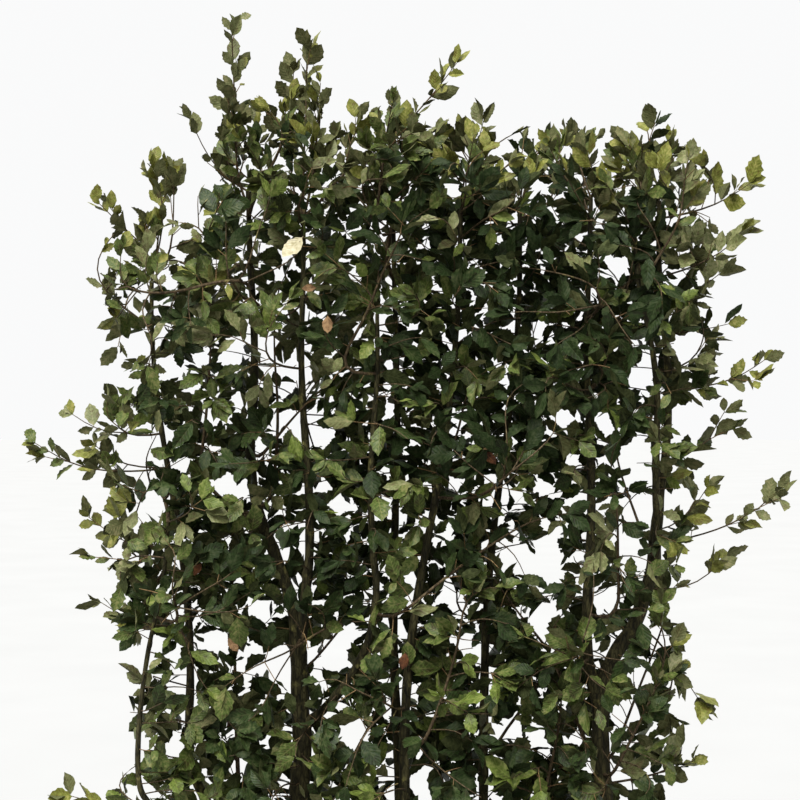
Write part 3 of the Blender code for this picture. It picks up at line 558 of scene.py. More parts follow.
# Branches thick enough to be seen between the leaves: how far each lies from the middle plane, the
# radius at its foot, and the side and height of the places it passes through
BRANCHES = (
    (0.03, 0.0065, ((-0.452, 0.45), (-0.460, 0.69), (-0.464, 0.865), (-0.470, 1.05))),
    (-0.10, 0.0040, ((-0.330, 0.88), (-0.285, 0.915), (-0.217, 0.948), (-0.135, 0.944))),
    (0.02, 0.0032, ((-0.300, 0.82), (-0.250, 0.885), (-0.200, 0.945), (-0.160, 1.02))),
    (0.00, 0.0045, ((-0.245, 0.52), (-0.195, 0.639), (-0.157, 0.70), (-0.120, 0.80))),
    (0.02, 0.0062, ((0.350, 0.60), (0.307, 0.713), (0.253, 0.854), (0.180, 0.945), (0.100, 1.06))),
    (-0.09, 0.0048, ((-0.045, 0.66), (0.010, 0.80), (0.045, 0.94), (0.040, 1.05))),
    (0.05, 0.0046, ((0.105, 0.60), (0.150, 0.685), (0.205, 0.75), (0.245, 0.84))),
    (-0.04, 0.0045, ((0.215, 0.50), (0.240, 0.60), (0.262, 0.70), (0.275, 0.82))),
    (-0.08, 0.0036, ((0.375, 0.60), (0.425, 0.70), (0.465, 0.78), (0.500, 0.88))),
    (0.06, 0.0034, ((0.395, 0.62), (0.440, 0.74), (0.480, 0.84), (0.520, 0.95))),
    (-0.02, 0.0042, ((0.468, 1.08), (0.430, 1.19), (0.397, 1.28), (0.385, 1.38))),
    (-0.05, 0.0030, ((0.395, 0.95), (0.392, 1.05), (0.392, 1.18), (0.380, 1.26))),
    (-0.06, 0.0034, ((0.350, 1.46), (0.372, 1.55), (0.404, 1.64), (0.425, 1.74))),
    (0.03, 0.0060, ((0.375, 1.64), (0.420, 1.69), (0.475, 1.745), (0.520, 1.83))),
    (-0.10, 0.0040, ((0.455, 1.70), (0.475, 1.75), (0.515, 1.80), (0.530, 1.86))),
    (-0.05, 0.0050, ((-0.020, 1.22), (0.010, 1.29), (0.040, 1.36), (0.055, 1.45))),
    (-0.11, 0.0042, ((-0.105, 0.95), (-0.020, 1.02), (0.072, 1.09), (0.170, 1.155))),
    (0.02, 0.0050, ((-0.380, 1.20), (-0.365, 1.386), (-0.374, 1.549), (-0.370, 1.68))),
    (
        -0.02, 0.0055,
        ((-0.440, 1.17), (-0.500, 1.22), (-0.536, 1.26), (-0.522, 1.40), (-0.509, 1.60)),
    ),
    (-0.03, 0.0052, ((-0.400, 1.30), (-0.359, 1.357), (-0.310, 1.41), (-0.262, 1.47))),
    (-0.15, 0.0048, ((-0.425, 1.69), (-0.500, 1.685), (-0.576, 1.66), (-0.690, 1.665))),
    (-0.08, 0.0036, ((-0.445, 1.66), (-0.470, 1.72), (-0.500, 1.76), (-0.530, 1.82))),
    (0.04, 0.0055, ((-0.425, 1.66), (-0.395, 1.62), (-0.360, 1.60), (-0.330, 1.63))),
    (0.00, 0.0046, ((-0.435, 1.86), (-0.465, 1.90), (-0.478, 1.96), (-0.475, 2.05))),
    (-0.02, 0.0065, ((-0.432, 1.85), (-0.385, 1.94), (-0.350, 2.00), (-0.330, 2.08))),
    (-0.05, 0.0042, ((-0.145, 1.80), (-0.135, 1.90), (-0.125, 1.98), (-0.115, 2.05))),
    (0.03, 0.0070, ((-0.125, 1.72), (-0.110, 1.83), (-0.080, 1.90), (-0.060, 2.00))),
    (-0.12, 0.0030, ((-0.225, 1.50), (-0.190, 1.57), (-0.160, 1.62), (-0.140, 1.68))),
    (0.02, 0.0050, ((-0.690, 0.93), (-0.650, 1.00), (-0.610, 1.07), (-0.590, 1.15))),
    (-0.04, 0.0055, ((-0.605, 1.22), (-0.640, 1.255), (-0.668, 1.23), (-0.672, 1.17))),
)

# Leaves that stand out: what became of each, how far it lies from the middle plane, the side and
# height of its root seen from the front, the way it points there and its length. All face the front.
MARKED_LEAVES = (
    ("faded", -0.17, -0.307, 1.798, -0.68, -0.73, 0.066),
    ("dusty", -0.15, -0.240, 1.492, 0.35, 0.60, 0.040),
    ("withered", -0.16, -0.252, 1.622, -0.05, -1.00, 0.042),
    ("withered", -0.15, -0.276, 1.682, -0.95, -0.10, 0.034),
    ("withered", -0.16, -0.476, 0.900, 0.55, -0.80, 0.040),
    ("dead", -0.15, -0.078, 0.866, -0.15, -0.95, 0.040),
    ("dead", -0.15, 0.098, 1.316, 0.60, -0.70, 0.040),
    ("dead", -0.14, -0.534, 1.066, -0.50, -0.80, 0.034),
)


def on_middle(points):
    """Where points fall on the screen's middle plane, seen from the front at eye height."""
    reach = -EYE[1] / (points[:, 1:2] - EYE[1])
    return (EYE + (points - EYE) * reach)[:, (0, 2)]


def inset(points):
    """How far inside the screen's edge points lie, on its middle plane."""
    side, height = on_middle(points).T
    left = side - np.interp(height, *zip(*LEFT_EDGE))
    right = np.interp(height, *zip(*RIGHT_EDGE)) - side
    top = np.interp(side, *zip(*TOP_EDGE)) - height
    bottom = height - np.interp(side, *zip(*BOTTOM_EDGE))
    return np.minimum(np.minimum(left, right), np.minimum(top, bottom))


def near_top(points):
    """How near points lie to the crown's top edge, from 0 well inside to 1 at the edge or above."""
    below = np.interp(points[:, 0], *zip(*TOP_EDGE)) - points[:, 2]
    return np.clip(1.0 - below / NEW_GROWTH_DEPTH, 0.0, 1.0)


def bulge(points, turn):
    """The share of its full depth that the crown has at points, from slow waves along and up it."""
    side, height = points[:, 0], points[:, 2]
    swell = sum(np.sin(a * side + b * height + c * turn) for a, b, c in BULGE_WAVES)
    return BULGE_MEAN + BULGE_SWELL * swell


def in_crown(points, margin):
    """Whether points lie in the screen by a margin. Its depth swells and shrinks over its front and
    its back, and rounds off towards its edge."""
    depth = inset(points)
    rounding = np.sqrt(EDGE_LEAST + (1.0 - EDGE_LEAST) * np.clip(depth / EDGE_ROUNDING, 0.0, 1.0))
    off_middle = points[:, 1] - MIDDLE_DEPTH
    share = np.where(off_middle < 0.0, bulge(points, BULGE_FRONT), bulge(points, BULGE_BACK))
    return (depth > margin) & (np.abs(off_middle) < HALF_DEPTH * rounding * share)


def shows_sky(points, spare):
    """Whether points lie in a window or within a spare distance of its rim, seen from the front."""
    spots = on_middle(points)
    windows = np.array(WINDOWS)
    away = np.linalg.norm(spots[:, None] - windows[None, :, :2], axis=2)
    return (away < windows[:, 2] + spare).any(axis=1)


# Twigs grow by one rule from the bark to the last leaf: buds are strewn through the crown, and each
# pulls the nearest wood towards it, a step at a time. They are one to eight millimetres thick.
TWIG_STEP = 0.026
BUD_SPACING = 0.0535
BUD_REACHED = 0.030
BUD_SHARE = 0.82
FULL_SHARE = 0.85
FULL_SIDES = ((-0.25, 0.05), (0.0, 1.0))
FULL_HEIGHTS = ((1.25, 1.55), (0.0, 1.0))
FULL_EVENNESS = 0.7
FULL_LEAFY_LOAD = 7
FULL_CLUMPS = (
    (0.56, 1.92), (-0.73, 1.81), (-0.48, 1.67), (-0.74, 1.59), (-0.25, 1.46), (-0.74, 1.42),
    (0.31, 1.38), (-0.39, 1.28), (-0.72, 1.20), (0.06, 0.92), (-0.70, 0.80),
    (-0.46, 1.14), (-0.27, 1.20), (0.55, 1.14), (0.08, 1.01), (-0.40, 0.98), (-0.73, 0.90),
    (0.42, 0.83), (-0.69, 0.77), (-0.69, 0.69), (0.06, 0.76), (-0.20, 0.72), (0.31, 0.59), (0.19, 0.54)
)
FULL_CLUMP_REACH = 0.04
WINDOW_SPARE = 0.012
CLUMPING = 0.8
CLUMP_WAVES = ((38.0, 9.0, 0.4), (-17.0, 34.0, 2.1), (24.0, 27.0, 4.0), (51.0, -31.0, 1.2))
GROWTH_ROUNDS = 34
TWIG_STRAIGHTNESS = 0.60
TWIG_RISE = 0.14
TOP_TWIG_RISE = 0.70
TOP_HEIGHTS = (1.60, 2.00)
TWIG_WANDER = 0.12
TWIG_OVERSHOOT = 0.010
FREE_GROWTH_HEIGHT = 0.45
TOP_LEVEL_BAND = 0.70
TOP_LEAST_RISE = 0.35
MOST_FORKS = 3
SEAT_SPACING = 0.026
SEAT_LOWEST = 0.16
TWIG_TIP_RADIUS = 0.00085
TWIG_POWER = 0.36
TWIG_MOST_RADIUS = 0.0042
TWIG_SIDES = 5
YOUNG_RADIUS = 0.00135
BARE_TWIG_INSET = 0.07
EASING = 0.5
EASING_ROUNDS = 3
BRANCH_TAPER_POWER = 1.3
SHOOT_BOW = 0.10
SHOOT_DEPTH_BOW = 0.02
SHOOT_WANDER = 0.0016
SIDE_SPRAY_EVERY = 3
SIDE_SPRAY_STEPS = 2


def fullness(points):
    """How closely the crown is filled at points, from 0 where it is loose to 1 where it is closed:
    high up and right of the middle, and in clumps that fade as a bell with the distance."""
    off_clumps = (points[:, None, ::2] - np.array(FULL_CLUMPS)) / FULL_CLUMP_REACH
    clumps = np.exp(-(off_clumps**2).sum(axis=2)).max(axis=1)
    wide = np.interp(points[:, 0], *FULL_SIDES) * np.interp(points[:, 2], *FULL_HEIGHTS)
    return np.maximum(wide, clumps)


def strew_buds(rng):
    """Buds on a grid, each moved at random within its cell, kept in the crown and out of the windows,
    and kept more often where the crown is full and where waves across the screen run high."""
    ranges = [np.arange(low, high, BUD_SPACING) for low, high in zip(cad_low, cad_high)]
    grid = np.stack(np.meshgrid(*ranges, indexing="ij"), -1).reshape(-1, 3)
    grid = grid + rng.uniform(0.0, BUD_SPACING, grid.shape)
    side, height = grid[:, 0], grid[:, 2]
    full = fullness(grid)
    waves = sum(np.sin(a * side + b * height + c) for a, b, c in CLUMP_WAVES) / len(CLUMP_WAVES)
    clump = 1.0 + CLUMPING * (1.0 - FULL_EVENNESS * full) * waves
    kept = rng.uniform(0.0, 1.0, len(grid)) < (BUD_SHARE + FULL_SHARE * full) * clump
    return grid[kept & in_crown(grid, EDGE_INSET) & ~shows_sky(grid, WINDOW_SPARE)]


def limb_seats():
    """Places on the limbs' middles that twigs can start from."""
    every = int(SEAT_SPACING / RING_SPACING)
    parts = [np.concatenate([line[::every], line[-1:]]) for line, _ in limb_routes.values()]
    places = np.concatenate(parts)
    return places[places[:, 2] > SEAT_LOWEST]


def add_branches(places, parents):
    """Each branch as a smooth line of nodes from the nearest seat through its places, and the least
    radius of every node: a branch's own, thinned to its tip by a power of the length."""
    least = np.zeros(len(places))
    for depth, radius, way in BRANCHES:
        line = np.array([(side, depth, height) for side, height in way])
        seat = int(np.argmin(np.linalg.norm(places[:seat_count] - line[0], axis=1)))
        bend = 0.5 * (places[seat] + line[0]) + np.array((0.0, 0.0, -0.01))
        line = np.concatenate([places[seat : seat + 1], bend[None], line])
        line, length = smoothed(line, TWIG_STEP)
        first = len(places)
        places = np.concatenate([places, line[1:]])
        parents = np.concatenate([parents, [seat], np.arange(first, first + len(line) - 2)])
        share = (length[1:] / length[-1]) ** BRANCH_TAPER_POWER
        thinned = radius + (TWIG_TIP_RADIUS - radius) * share
        least = np.concatenate([least, thinned])
    return places, parents, least


def add_shoots(places, parents, rng):
    """Each long shoot as a bowed line of nodes from the nearest seat through its start to its tip,
    and side sprays of a few steps that leave its leafy end on alternate sides."""
    leafy = []
    for start, tip, leafy_length in SHOOTS:
        start, tip = np.array(start), np.array(tip)
        seat = int(np.argmin(np.linalg.norm(places[:seat_count] - start, axis=1)))
        sideways = rng.uniform(-SHOOT_DEPTH_BOW, SHOOT_DEPTH_BOW)
        sag = np.array((0.0, sideways, -SHOOT_BOW * abs(tip[0] - start[0])))
        bow = (tip - start) * 0.5 + sag
        line = np.concatenate([
            curve(places[seat], start, start + bow * 0.8, start + bow, 12),
            curve(start + bow, start + bow * 1.3, tip * 0.8 + (start + bow) * 0.2, tip, 12),
        ])
        line, length = smoothed(np.concatenate([places[seat : seat + 1], line]), TWIG_STEP)
        line[1:-1] += rng.normal(0.0, SHOOT_WANDER, line[1:-1].shape)
        first = len(places)
        places = np.concatenate([places, line[1:]])
        parents = np.concatenate([parents, [seat], np.arange(first, first + len(line) - 2)])
        on_end = np.nonzero(length[1:] > length[-1] - leafy_length)[0] + first
        leafy.append(on_end)
        for turn, k in enumerate(on_end[:-2:SIDE_SPRAY_EVERY]):
            along = unit(places[k] - places[parents[k]])
            out = unit(np.cross(along, rng.normal(0.0, 1.0, 3)))
            out = unit(out * (-1.0) ** turn + np.array((0.0, 0.0, 0.3)))
            steps = int(rng.integers(1, SIDE_SPRAY_STEPS + 1))
            stride = (along * 0.90 + out * 0.6) * TWIG_STEP
            spots = places[k] + stride * np.arange(1, steps + 1)[:, None]
            first_side = len(places)
            places = np.concatenate([places, spots])
            parents = np.concatenate([parents, [k], np.arange(first_side, first_side + steps - 1)])
            leafy.append(np.arange(first_side, first_side + steps))
    return places, parents, np.concatenate(leafy)


def add_marked(places, parents):
    """A thin twig to the root of each marked leaf, from the nearest wood behind it and below, and the
    last node of each."""
    ends = []
    for _, depth, side, height, *_ in MARKED_LEAVES:
        root = EYE + (np.array((side, 0.0, height)) - EYE) * (depth - EYE[1]) / -EYE[1]
        away = places - root
        far = np.linalg.norm(away, axis=1)
        fit = (away[:, 1] > 0.0) & (away[:, 2] < 0.01) & (far > TWIG_STEP)
        near = int(np.argmin(np.where(fit, far, np.inf)))
        steps = max(1, round(far[near] / TWIG_STEP))
        share = np.arange(1, steps + 1)[:, None] / steps
        first = len(places)
        places = np.concatenate([places, places[near] - away[near] * share])
        parents = np.concatenate([parents, [near], np.arange(first, first + steps - 1)])
        ends.append(len(places) - 1)
    return places, parents, ends


def distances(a, b):
    """The distance from every point of a to every point of b."""
    square = (a**2).sum(axis=1)[:, None] + (b**2).sum(axis=1)[None, :] - 2.0 * a @ b.T
    return np.sqrt(np.maximum(square, 0.0))


def grow_twigs(places, parents, buds, rng):
    """Space colonisation: in each round every bud pulls its nearest node, each pulled node puts out
    one step along the mean pull, kept straight by its own twig and bent up, most near the top, unless
    it would leave the crown or lie level along its top, and a bud that wood comes close to stops
    pulling."""
    forks = np.bincount(parents[parents >= 0], minlength=len(places))
    nearest = np.zeros(len(buds), dtype=int)
    gap = np.full(len(buds), np.inf)
    fresh = np.arange(len(places))
    for _ in range(GROWTH_ROUNDS):
        away = distances(buds, places[fresh])
        best = away.argmin(axis=1)
        closer = away[np.arange(len(buds)), best] < gap
        gap[closer] = away[closer, best[closer]]
        nearest[closer] = fresh[best[closer]]
        pulling = gap > BUD_REACHED
        buds, nearest, gap = buds[pulling], nearest[pulling], gap[pulling]
        pull = np.zeros_like(places)
        np.add.at(pull, nearest, unit(buds - places[nearest]))
        pulled = np.unique(nearest)
        pulled = pulled[forks[pulled] < MOST_FORKS]
        along = unit(places[pulled] - places[parents[pulled]])
        along = np.where(parents[pulled, None] >= 0, along, 0.0)
        way = unit(pull[pulled]) + along * TWIG_STRAIGHTNESS
        way[:, 2] += np.interp(places[pulled, 2], TOP_HEIGHTS, (TWIG_RISE, TOP_TWIG_RISE))
        way = unit(way + rng.normal(0.0, TWIG_WANDER, way.shape))
        ahead = places[pulled] + way * TWIG_STEP
        within = in_crown(ahead, -TWIG_OVERSHOOT) | (ahead[:, 2] < FREE_GROWTH_HEIGHT)
        within &= (way[:, 2] > TOP_LEAST_RISE) | (near_top(ahead) < TOP_LEVEL_BAND)
        pulled, ahead = pulled[within], ahead[within]
        if not len(pulled):
            break
        fresh = np.arange(len(places), len(places) + len(pulled))
        places = np.concatenate([places, ahead])
        parents = np.concatenate([parents, pulled])
        forks = np.concatenate([forks, np.zeros(len(pulled), dtype=int)])
        forks[pulled] += 1
    return places, parents


def loads(parents):
    """How many nodes each node carries, itself among them."""
    load = np.ones(len(parents))
    for k in range(len(parents) - 1, -1, -1):
        if parents[k] >= 0:
            load[parents[k]] += load[k]
    return load


def relaxed(places, parents, load):
    """The nodes with their kinks eased: each moved part of the way to the middle between its parent
    and its most loaded child."""
    heaviest = np.full(len(places), -1)
    for k in np.argsort(load):
        if parents[k] >= 0:
            heaviest[parents[k]] = k
    inner = np.nonzero((parents >= 0) & (heaviest >= 0))[0]
    places = places.copy()
    for _ in range(EASING_ROUNDS):
        middle = 0.5 * (places[parents[inner]] + places[heaviest[inner]])
        places[inner] += EASING * (middle - places[inner])
    return places


def bearing(parents, leafy):
    """Whether each node stays: those that lie inside the crown, hold a leaf, or carry such a node."""
    stays = in_crown(nodes, BARE_TWIG_INSET)
    stays[leafy] = True
    for k in range(len(parents) - 1, -1, -1):
        if stays[k] and parents[k] >= 0:
            stays[parents[k]] = True
    return stays


def twig_chains(parents, load, seat_count, stays):
    """Each twig as a list of nodes from the fork it leaves to its tip, the most loaded way on."""
    children = {}
    for k in range(seat_count, len(parents)):
        if stays[k]:
            children.setdefault(int(parents[k]), []).append(k)
    chains = []
    for fork in list(children):
        after = sorted(children[fork], key=lambda k: -load[k])
        for start in after if fork < seat_count else after[1:]:
            chain = [fork, start]
            while chain[-1] in children:
                chain.append(max(children[chain[-1]], key=lambda k: load[k]))
            chains.append(chain)
    return chains


seats = limb_seats()
seat_count = len(seats)
nodes, node_parents, least_radius = add_branches(seats, np.full(seat_count, -1))
nodes, node_parents, shoot_nodes = add_shoots(nodes, node_parents, growth_rng)
nodes, node_parents = grow_twigs(nodes, node_parents, strew_buds(growth_rng), growth_rng)
nodes, node_parents, marked_nodes = add_marked(nodes, node_parents)
node_load = loads(node_parents)
nodes = relaxed(nodes, node_parents, node_load)
node_radius = np.minimum(TWIG_TIP_RADIUS * node_load**TWIG_POWER, TWIG_MOST_RADIUS)
node_radius[: len(least_radius)] = np.maximum(node_radius[: len(least_radius)], least_radius)

# Leaves are thick and leathery, oval and pointed with a few coarse teeth, on a stalk of a few
# millimetres. They stand round each twig by turns, crowd at its tip, and are smaller on new growth.
LEAF_LENGTHS = (0.042, 0.082)
NEW_LEAF_SIDES = ((-0.3, 0.1), (0.70, 0.82))
TIP_LEAF_SHARE = 0.85
SHOOT_LEAF_SIDES = ((-0.3, 0.3), (0.80, 0.90))
SHOOT_WIDTH_SHARE = 1.12
LEAF_WIDTHS = (0.40, 0.60)
BROAD_HEIGHTS = ((0.70, 1.10), (1.15, 1.00))
LEAF_THICKNESS = 0.0006
LEAF_STATIONS = np.array((0.07, 0.18, 0.28, 0.39, 0.48, 0.59, 0.68, 0.79, 0.88))
LEAF_OUTLINE = np.array((0.05, 0.50, 0.75, 0.94, 0.98, 0.92, 0.81, 0.62, 0.39))
LEAF_TEETH = np.array((0.0, 0.6, -0.8, 1.0, -1.0, 1.0, -1.0, 0.9, -0.8))
TOOTH_DEPTHS = (0.02, 0.11)
TOOTH_LEAN = 0.035
LEAF_TURN = 2.4
LEAF_OPPOSITE = 2.8
TIP_LEAF_TURN = 1.7
LEAF_TURN_SPREAD = 0.35
LEAFY_LOAD = 5
TIP_LEAVES = 4
SHOOT_TIP_LEAVES = 2
LEAF_OVERHANG = 0.004
LEAF_LOWEST = 0.10
BOX_SPARE = 0.001
MARK_CLEAR = 0.75
LEAF_CLEAR = 0.002
BARE_RINGS = 3
BARE_BAND = 0.012
BARE_HEIGHTS = (0.50, 0.95, 1.30, 1.80)
BARE_SHARES = (0.85, 0.75, 0.50, 0.25)
BARE_WOOD = ((0.006, 0.014), (0.40, 1.0))
LEAVES_IN_PIECE = 2700


def leaf_sites(rng):
    """Which node each leaf stands at, and its turn round the twig: one on each young node, also on
    older ones where the crown is full and near its top, two on each node of a long shoot, and more at
    tips."""
    count = len(nodes)
    is_tip = np.ones(count, dtype=bool)
    is_tip[node_parents[node_parents >= 0]] = False
    is_tip[:seat_count] = False
    most = LEAFY_LOAD + FULL_LEAFY_LOAD * np.maximum(fullness(nodes), near_top(nodes))
    young = (np.arange(count) >= seat_count) & (node_load <= most)
    on_shoot = np.zeros(count, dtype=bool)
    on_shoot[shoot_nodes] = True
    single = np.nonzero(young | on_shoot)[0]
    opposite = np.nonzero(on_shoot)[0][::2]
    tips = np.repeat(np.nonzero(is_tip)[0], np.where(on_shoot[is_tip], SHOOT_TIP_LEAVES, TIP_LEAVES))
    sites = np.concatenate([single, opposite, tips])
    order = np.concatenate([
        single * LEAF_TURN, opposite * LEAF_TURN + LEAF_OPPOSITE, np.arange(len(tips)) * TIP_LEAF_TURN
    ])
    at_tip = np.repeat((False, True), (len(single) + len(opposite), len(tips)))
    order += rng.normal(0.0, LEAF_TURN_SPREAD, len(sites))
    return sites, order, at_tip, on_shoot[sites]


def leaf_ways(sites, order, at_tip, on_shoot, rng):
    """Where each leaf starts, which way it points, and which way its upper side faces: out of the
    twig at its own turn, less so at a tip or near the top, and with its face to the light, up and out
    of the screen."""
    parents_of = node_parents[sites]
    along = unit(nodes[sites] - nodes[parents_of])
    side = unit(np.cross(along, unit(np.array((0.13, 0.91, 0.39)))))
    across = np.cross(along, side)
    out = side * np.cos(order)[:, None] + across * np.sin(order)[:, None]
    high = np.where(on_shoot, 0.3, 1.0) * near_top(nodes[sites])
    lean = np.where(at_tip, 0.75, 1.0) * np.where(on_shoot, 0.85, 1.0) * (1.0 - 0.40 * high)
    way = along * 0.90 + out * lean[:, None] + rng.normal(0.0, 0.22, along.shape)
    way[:, 2] += -0.02 + 0.75 * high
    way = unit(way)
    back = rng.uniform(0.0, 0.8, len(sites)) * np.where(at_tip, 0.25, 1.0)
    base = nodes[sites] + (nodes[parents_of] - nodes[sites]) * back[:, None]
    facing = np.where(base[:, 1] + rng.normal(0.0, 0.07, len(base)) < 0.0, -1.0, 1.0)
    light = np.stack([np.zeros(len(base)), 0.62 * facing, np.full(len(base), 0.62)], -1)
    face = light + out * 0.25 + rng.normal(0.0, 0.50, light.shape)
    face = unit(face - way * (face * way).sum(axis=1, keepdims=True))
    return base, way, face


def leaf_points(base, way, face, length, width, rng):
    """The points of every leaf at once, as leaves by points: along the blade the outline's share of
    its width, in and out by its teeth, the edges folded from the rib and waved, the whole drooping
    with the square of the distance from its root. Each has a root, a tip, two edges, and a rib above
    and below."""
    count, stations = len(base), len(LEAF_STATIONS)
    across = np.cross(face, way)
    u = LEAF_STATIONS[None, :]
    full = 0.5 * (length * width)[:, None]
    toothed = rng.uniform(*TOOTH_DEPTHS, count)[:, None] * LEAF_TEETH
    droop = rng.uniform(-0.02, 0.22, count)[:, None]
    fold = rng.uniform(-0.25, 0.60, count)[:, None]
    wave = rng.uniform(0.02, 0.10, count)[:, None] * width[:, None] * length[:, None]
    spin = rng.normal(0.0, 0.16, count)[:, None]
    skew = rng.normal(0.0, 0.05, count)[:, None]

    def place(run, sidestep, lift):
        """Points that far along each blade, across it and off it."""
        run, sidestep, lift = np.broadcast_arrays(run, sidestep, lift)
        return (
            base[:, None] + way[:, None] * run[..., None] + across[:, None] * sidestep[..., None]
            + face[:, None] * lift[..., None]
        )

    reach = length[:, None] * (1.0 - 0.3 * np.abs(droop) * u)
    sag = -droop * length[:, None] * u**2
    bend = skew * length[:, None] * u**2
    long = length[:, None]
    parts = [
        place(np.zeros((count, 1)), 0.0, 0.0),
        place(long * (1.0 - 0.3 * np.abs(droop)), skew * long, -droop * long),
    ]
    for side in (-1.0, 1.0):
        edge = full * (LEAF_OUTLINE + toothed + rng.normal(0.0, 0.04, (count, stations)))
        edge = np.maximum(edge, 0.0004)
        ripple_up = wave * LEAF_OUTLINE * np.sin(9.0 * u + rng.uniform(0.0, 6.3, count)[:, None])
        parts.append(place(
            reach * (u + TOOTH_LEAN * LEAF_OUTLINE), bend + side * edge * (1.0 - 0.35 * np.abs(fold)),
            sag + edge * (fold + side * spin * u) + ripple_up,
        ))
    for side in (0.5, -0.5):
        parts.append(place(reach * u, bend, sag + side * LEAF_THICKNESS))
    return np.concatenate(parts, axis=1)


def leaf_template():
    """The triangles, slots and blade map of one leaf: its upper side from the rib to each edge, and
    its underside the same, turned over."""
    stations = len(LEAF_STATIONS)
    low, high = 2 + np.arange(stations), 2 + stations + np.arange(stations)
    sides = []
    for rib in (2 + 2 * stations + np.arange(stations), 2 + 3 * stations + np.arange(stations)):
        faces = [(0, rib[0], high[0]), (0, low[0], rib[0])]
        faces += [(rib[-1], 1, high[-1]), (rib[-1], low[-1], 1)]
        for k in range(stations - 1):
            faces += [(rib[k], rib[k + 1], high[k + 1]), (rib[k], high[k + 1], high[k])]
            faces += [(rib[k], low[k], low[k + 1]), (rib[k], low[k + 1], rib[k + 1])]
        sides.append(np.array(faces))
    faces = np.concatenate([sides[0], sides[1][:, ::-1]])
    slots = np.repeat((0, 1), len(sides[0]))
    run = np.concatenate([[0.0, 1.0], np.tile(LEAF_STATIONS, 4)])
    across = np.repeat((0.5, 0.0, 1.0, 0.5), (2, stations, stations, 2 * stations))
    return faces, slots, np.stack([run, across], -1)


def clear_of_limbs(points):
    """Whether each leaf keeps its points off the limbs' bark."""
    line = np.concatenate([route for route, _ in limb_routes.values()])
    thick = np.concatenate([radii for _, radii in limb_routes.values()])
    tree = KDTree(len(line))
    for k, spot in enumerate(line):
        tree.insert(spot, k)
    tree.balance()
    clear = np.ones(len(points), dtype=bool)
    for k, leaf in enumerate(points):
        for spot in leaf:
            _, near, away = tree.find(spot)
            if away < thick[near] + LEAF_CLEAR:
                clear[k] = False
                break
    return clear


def hides_limb(middles, rng):
    """Whether a leaf is taken off because it stands before a limb that shows bare from the front. The
    share that is taken off grows less with height and with thinner wood."""
    every = BARE_RINGS
    line = np.concatenate([route[::every] for route, _ in limb_routes.values()])
    thick = np.concatenate([radii[::every] for _, radii in limb_routes.values()])
    away = distances(on_middle(middles), on_middle(line)) - thick
    near = away.argmin(axis=1)
    before = (away.min(axis=1) < BARE_BAND) & (middles[:, 1] < line[near, 1])
    share = np.interp(middles[:, 2], BARE_HEIGHTS, BARE_SHARES) * np.interp(thick[near], *BARE_WOOD)
    return before & (rng.uniform(0.0, 1.0, len(middles)) < share)


leaf_rng = np.random.default_rng(31)
site, site_turn, site_tip, site_shoot = leaf_sites(leaf_rng)
root, pointing, facing_up = leaf_ways(site, site_turn, site_tip, site_shoot, leaf_rng)
blade_length = leaf_rng.uniform(*LEAF_LENGTHS, len(site)) * np.where(site_tip, TIP_LEAF_SHARE, 1.0)
new_share = np.interp(nodes[site, 0], *NEW_LEAF_SIDES)
new_share = 1.0 + (new_share - 1.0) * near_top(nodes[site])
shoot_share = np.interp(nodes[site, 0], *SHOOT_LEAF_SIDES)
blade_length *= np.where(site_shoot, shoot_share, new_share)
blade_width = leaf_rng.uniform(*LEAF_WIDTHS, len(site)) * np.where(site_shoot, SHOOT_WIDTH_SHARE, 1.0)
blade_width *= np.interp(nodes[site, 2], *BROAD_HEIGHTS)
mark = np.full(len(site), "", dtype="<U8")
for (kind, *_, point_side, point_up, long), node in zip(MARKED_LEAVES, marked_nodes):
    k = int(np.nonzero(site == node)[0][0])
    mark[k] = kind
    root[k] = nodes[node]
    pointing[k] = unit(np.array((point_side, -0.25, point_up)))
    forward = np.array((0.0, -1.0, 0.25))
    facing_up[k] = unit(forward - pointing[k] * (forward @ pointing[k]))
    blade_length[k], blade_width[k] = long, LEAF_WIDTHS[1]
leaves = leaf_points(root, pointing, facing_up, blade_length, blade_width, leaf_rng)
stations = len(LEAF_STATIONS)
middles = leaves.mean(axis=1)

# Leaves are left off where their tip or edges pass the crown's edge, a window's rim or the solids'
# box, where they hide a marked leaf, and where they cut into a limb or hide one that shows bare
probes = leaves[:, (1, 5, 8, 5 + stations, 8 + stations)]
flat_probes = probes.reshape(-1, 3)
outside = (~in_crown(flat_probes, -LEAF_OVERHANG)).reshape(len(leaves), -1).any(axis=1)
in_window = shows_sky(flat_probes, 0.0).reshape(len(leaves), -1).any(axis=1)
in_window |= shows_sky(probes.mean(axis=1), 0.0)
off_box = ((leaves < cad_low + BOX_SPARE) | (leaves > cad_high - BOX_SPARE)).any(axis=(1, 2))
kept = ~(outside & ~site_shoot) & ~in_window & ~off_box
kept &= leaves[..., 2].min(axis=1) > LEAF_LOWEST
seen_at = on_middle(middles)
for k in np.nonzero(mark != "")[0]:
    over = np.linalg.norm(seen_at - seen_at[k], axis=1) < MARK_CLEAR * blade_length[k]
    kept &= ~(over & (middles[:, 1] < middles[k, 1] + 0.01)) | (mark != "")
kept |= mark != ""
kept[kept] = clear_of_limbs(probes[kept])
kept &= ~(hides_limb(middles, leaf_rng) & (mark == ""))
leaves, site, site_tip, site_shoot, mark = (
    values[kept] for values in (leaves, site, site_tip, site_shoot, mark)
)

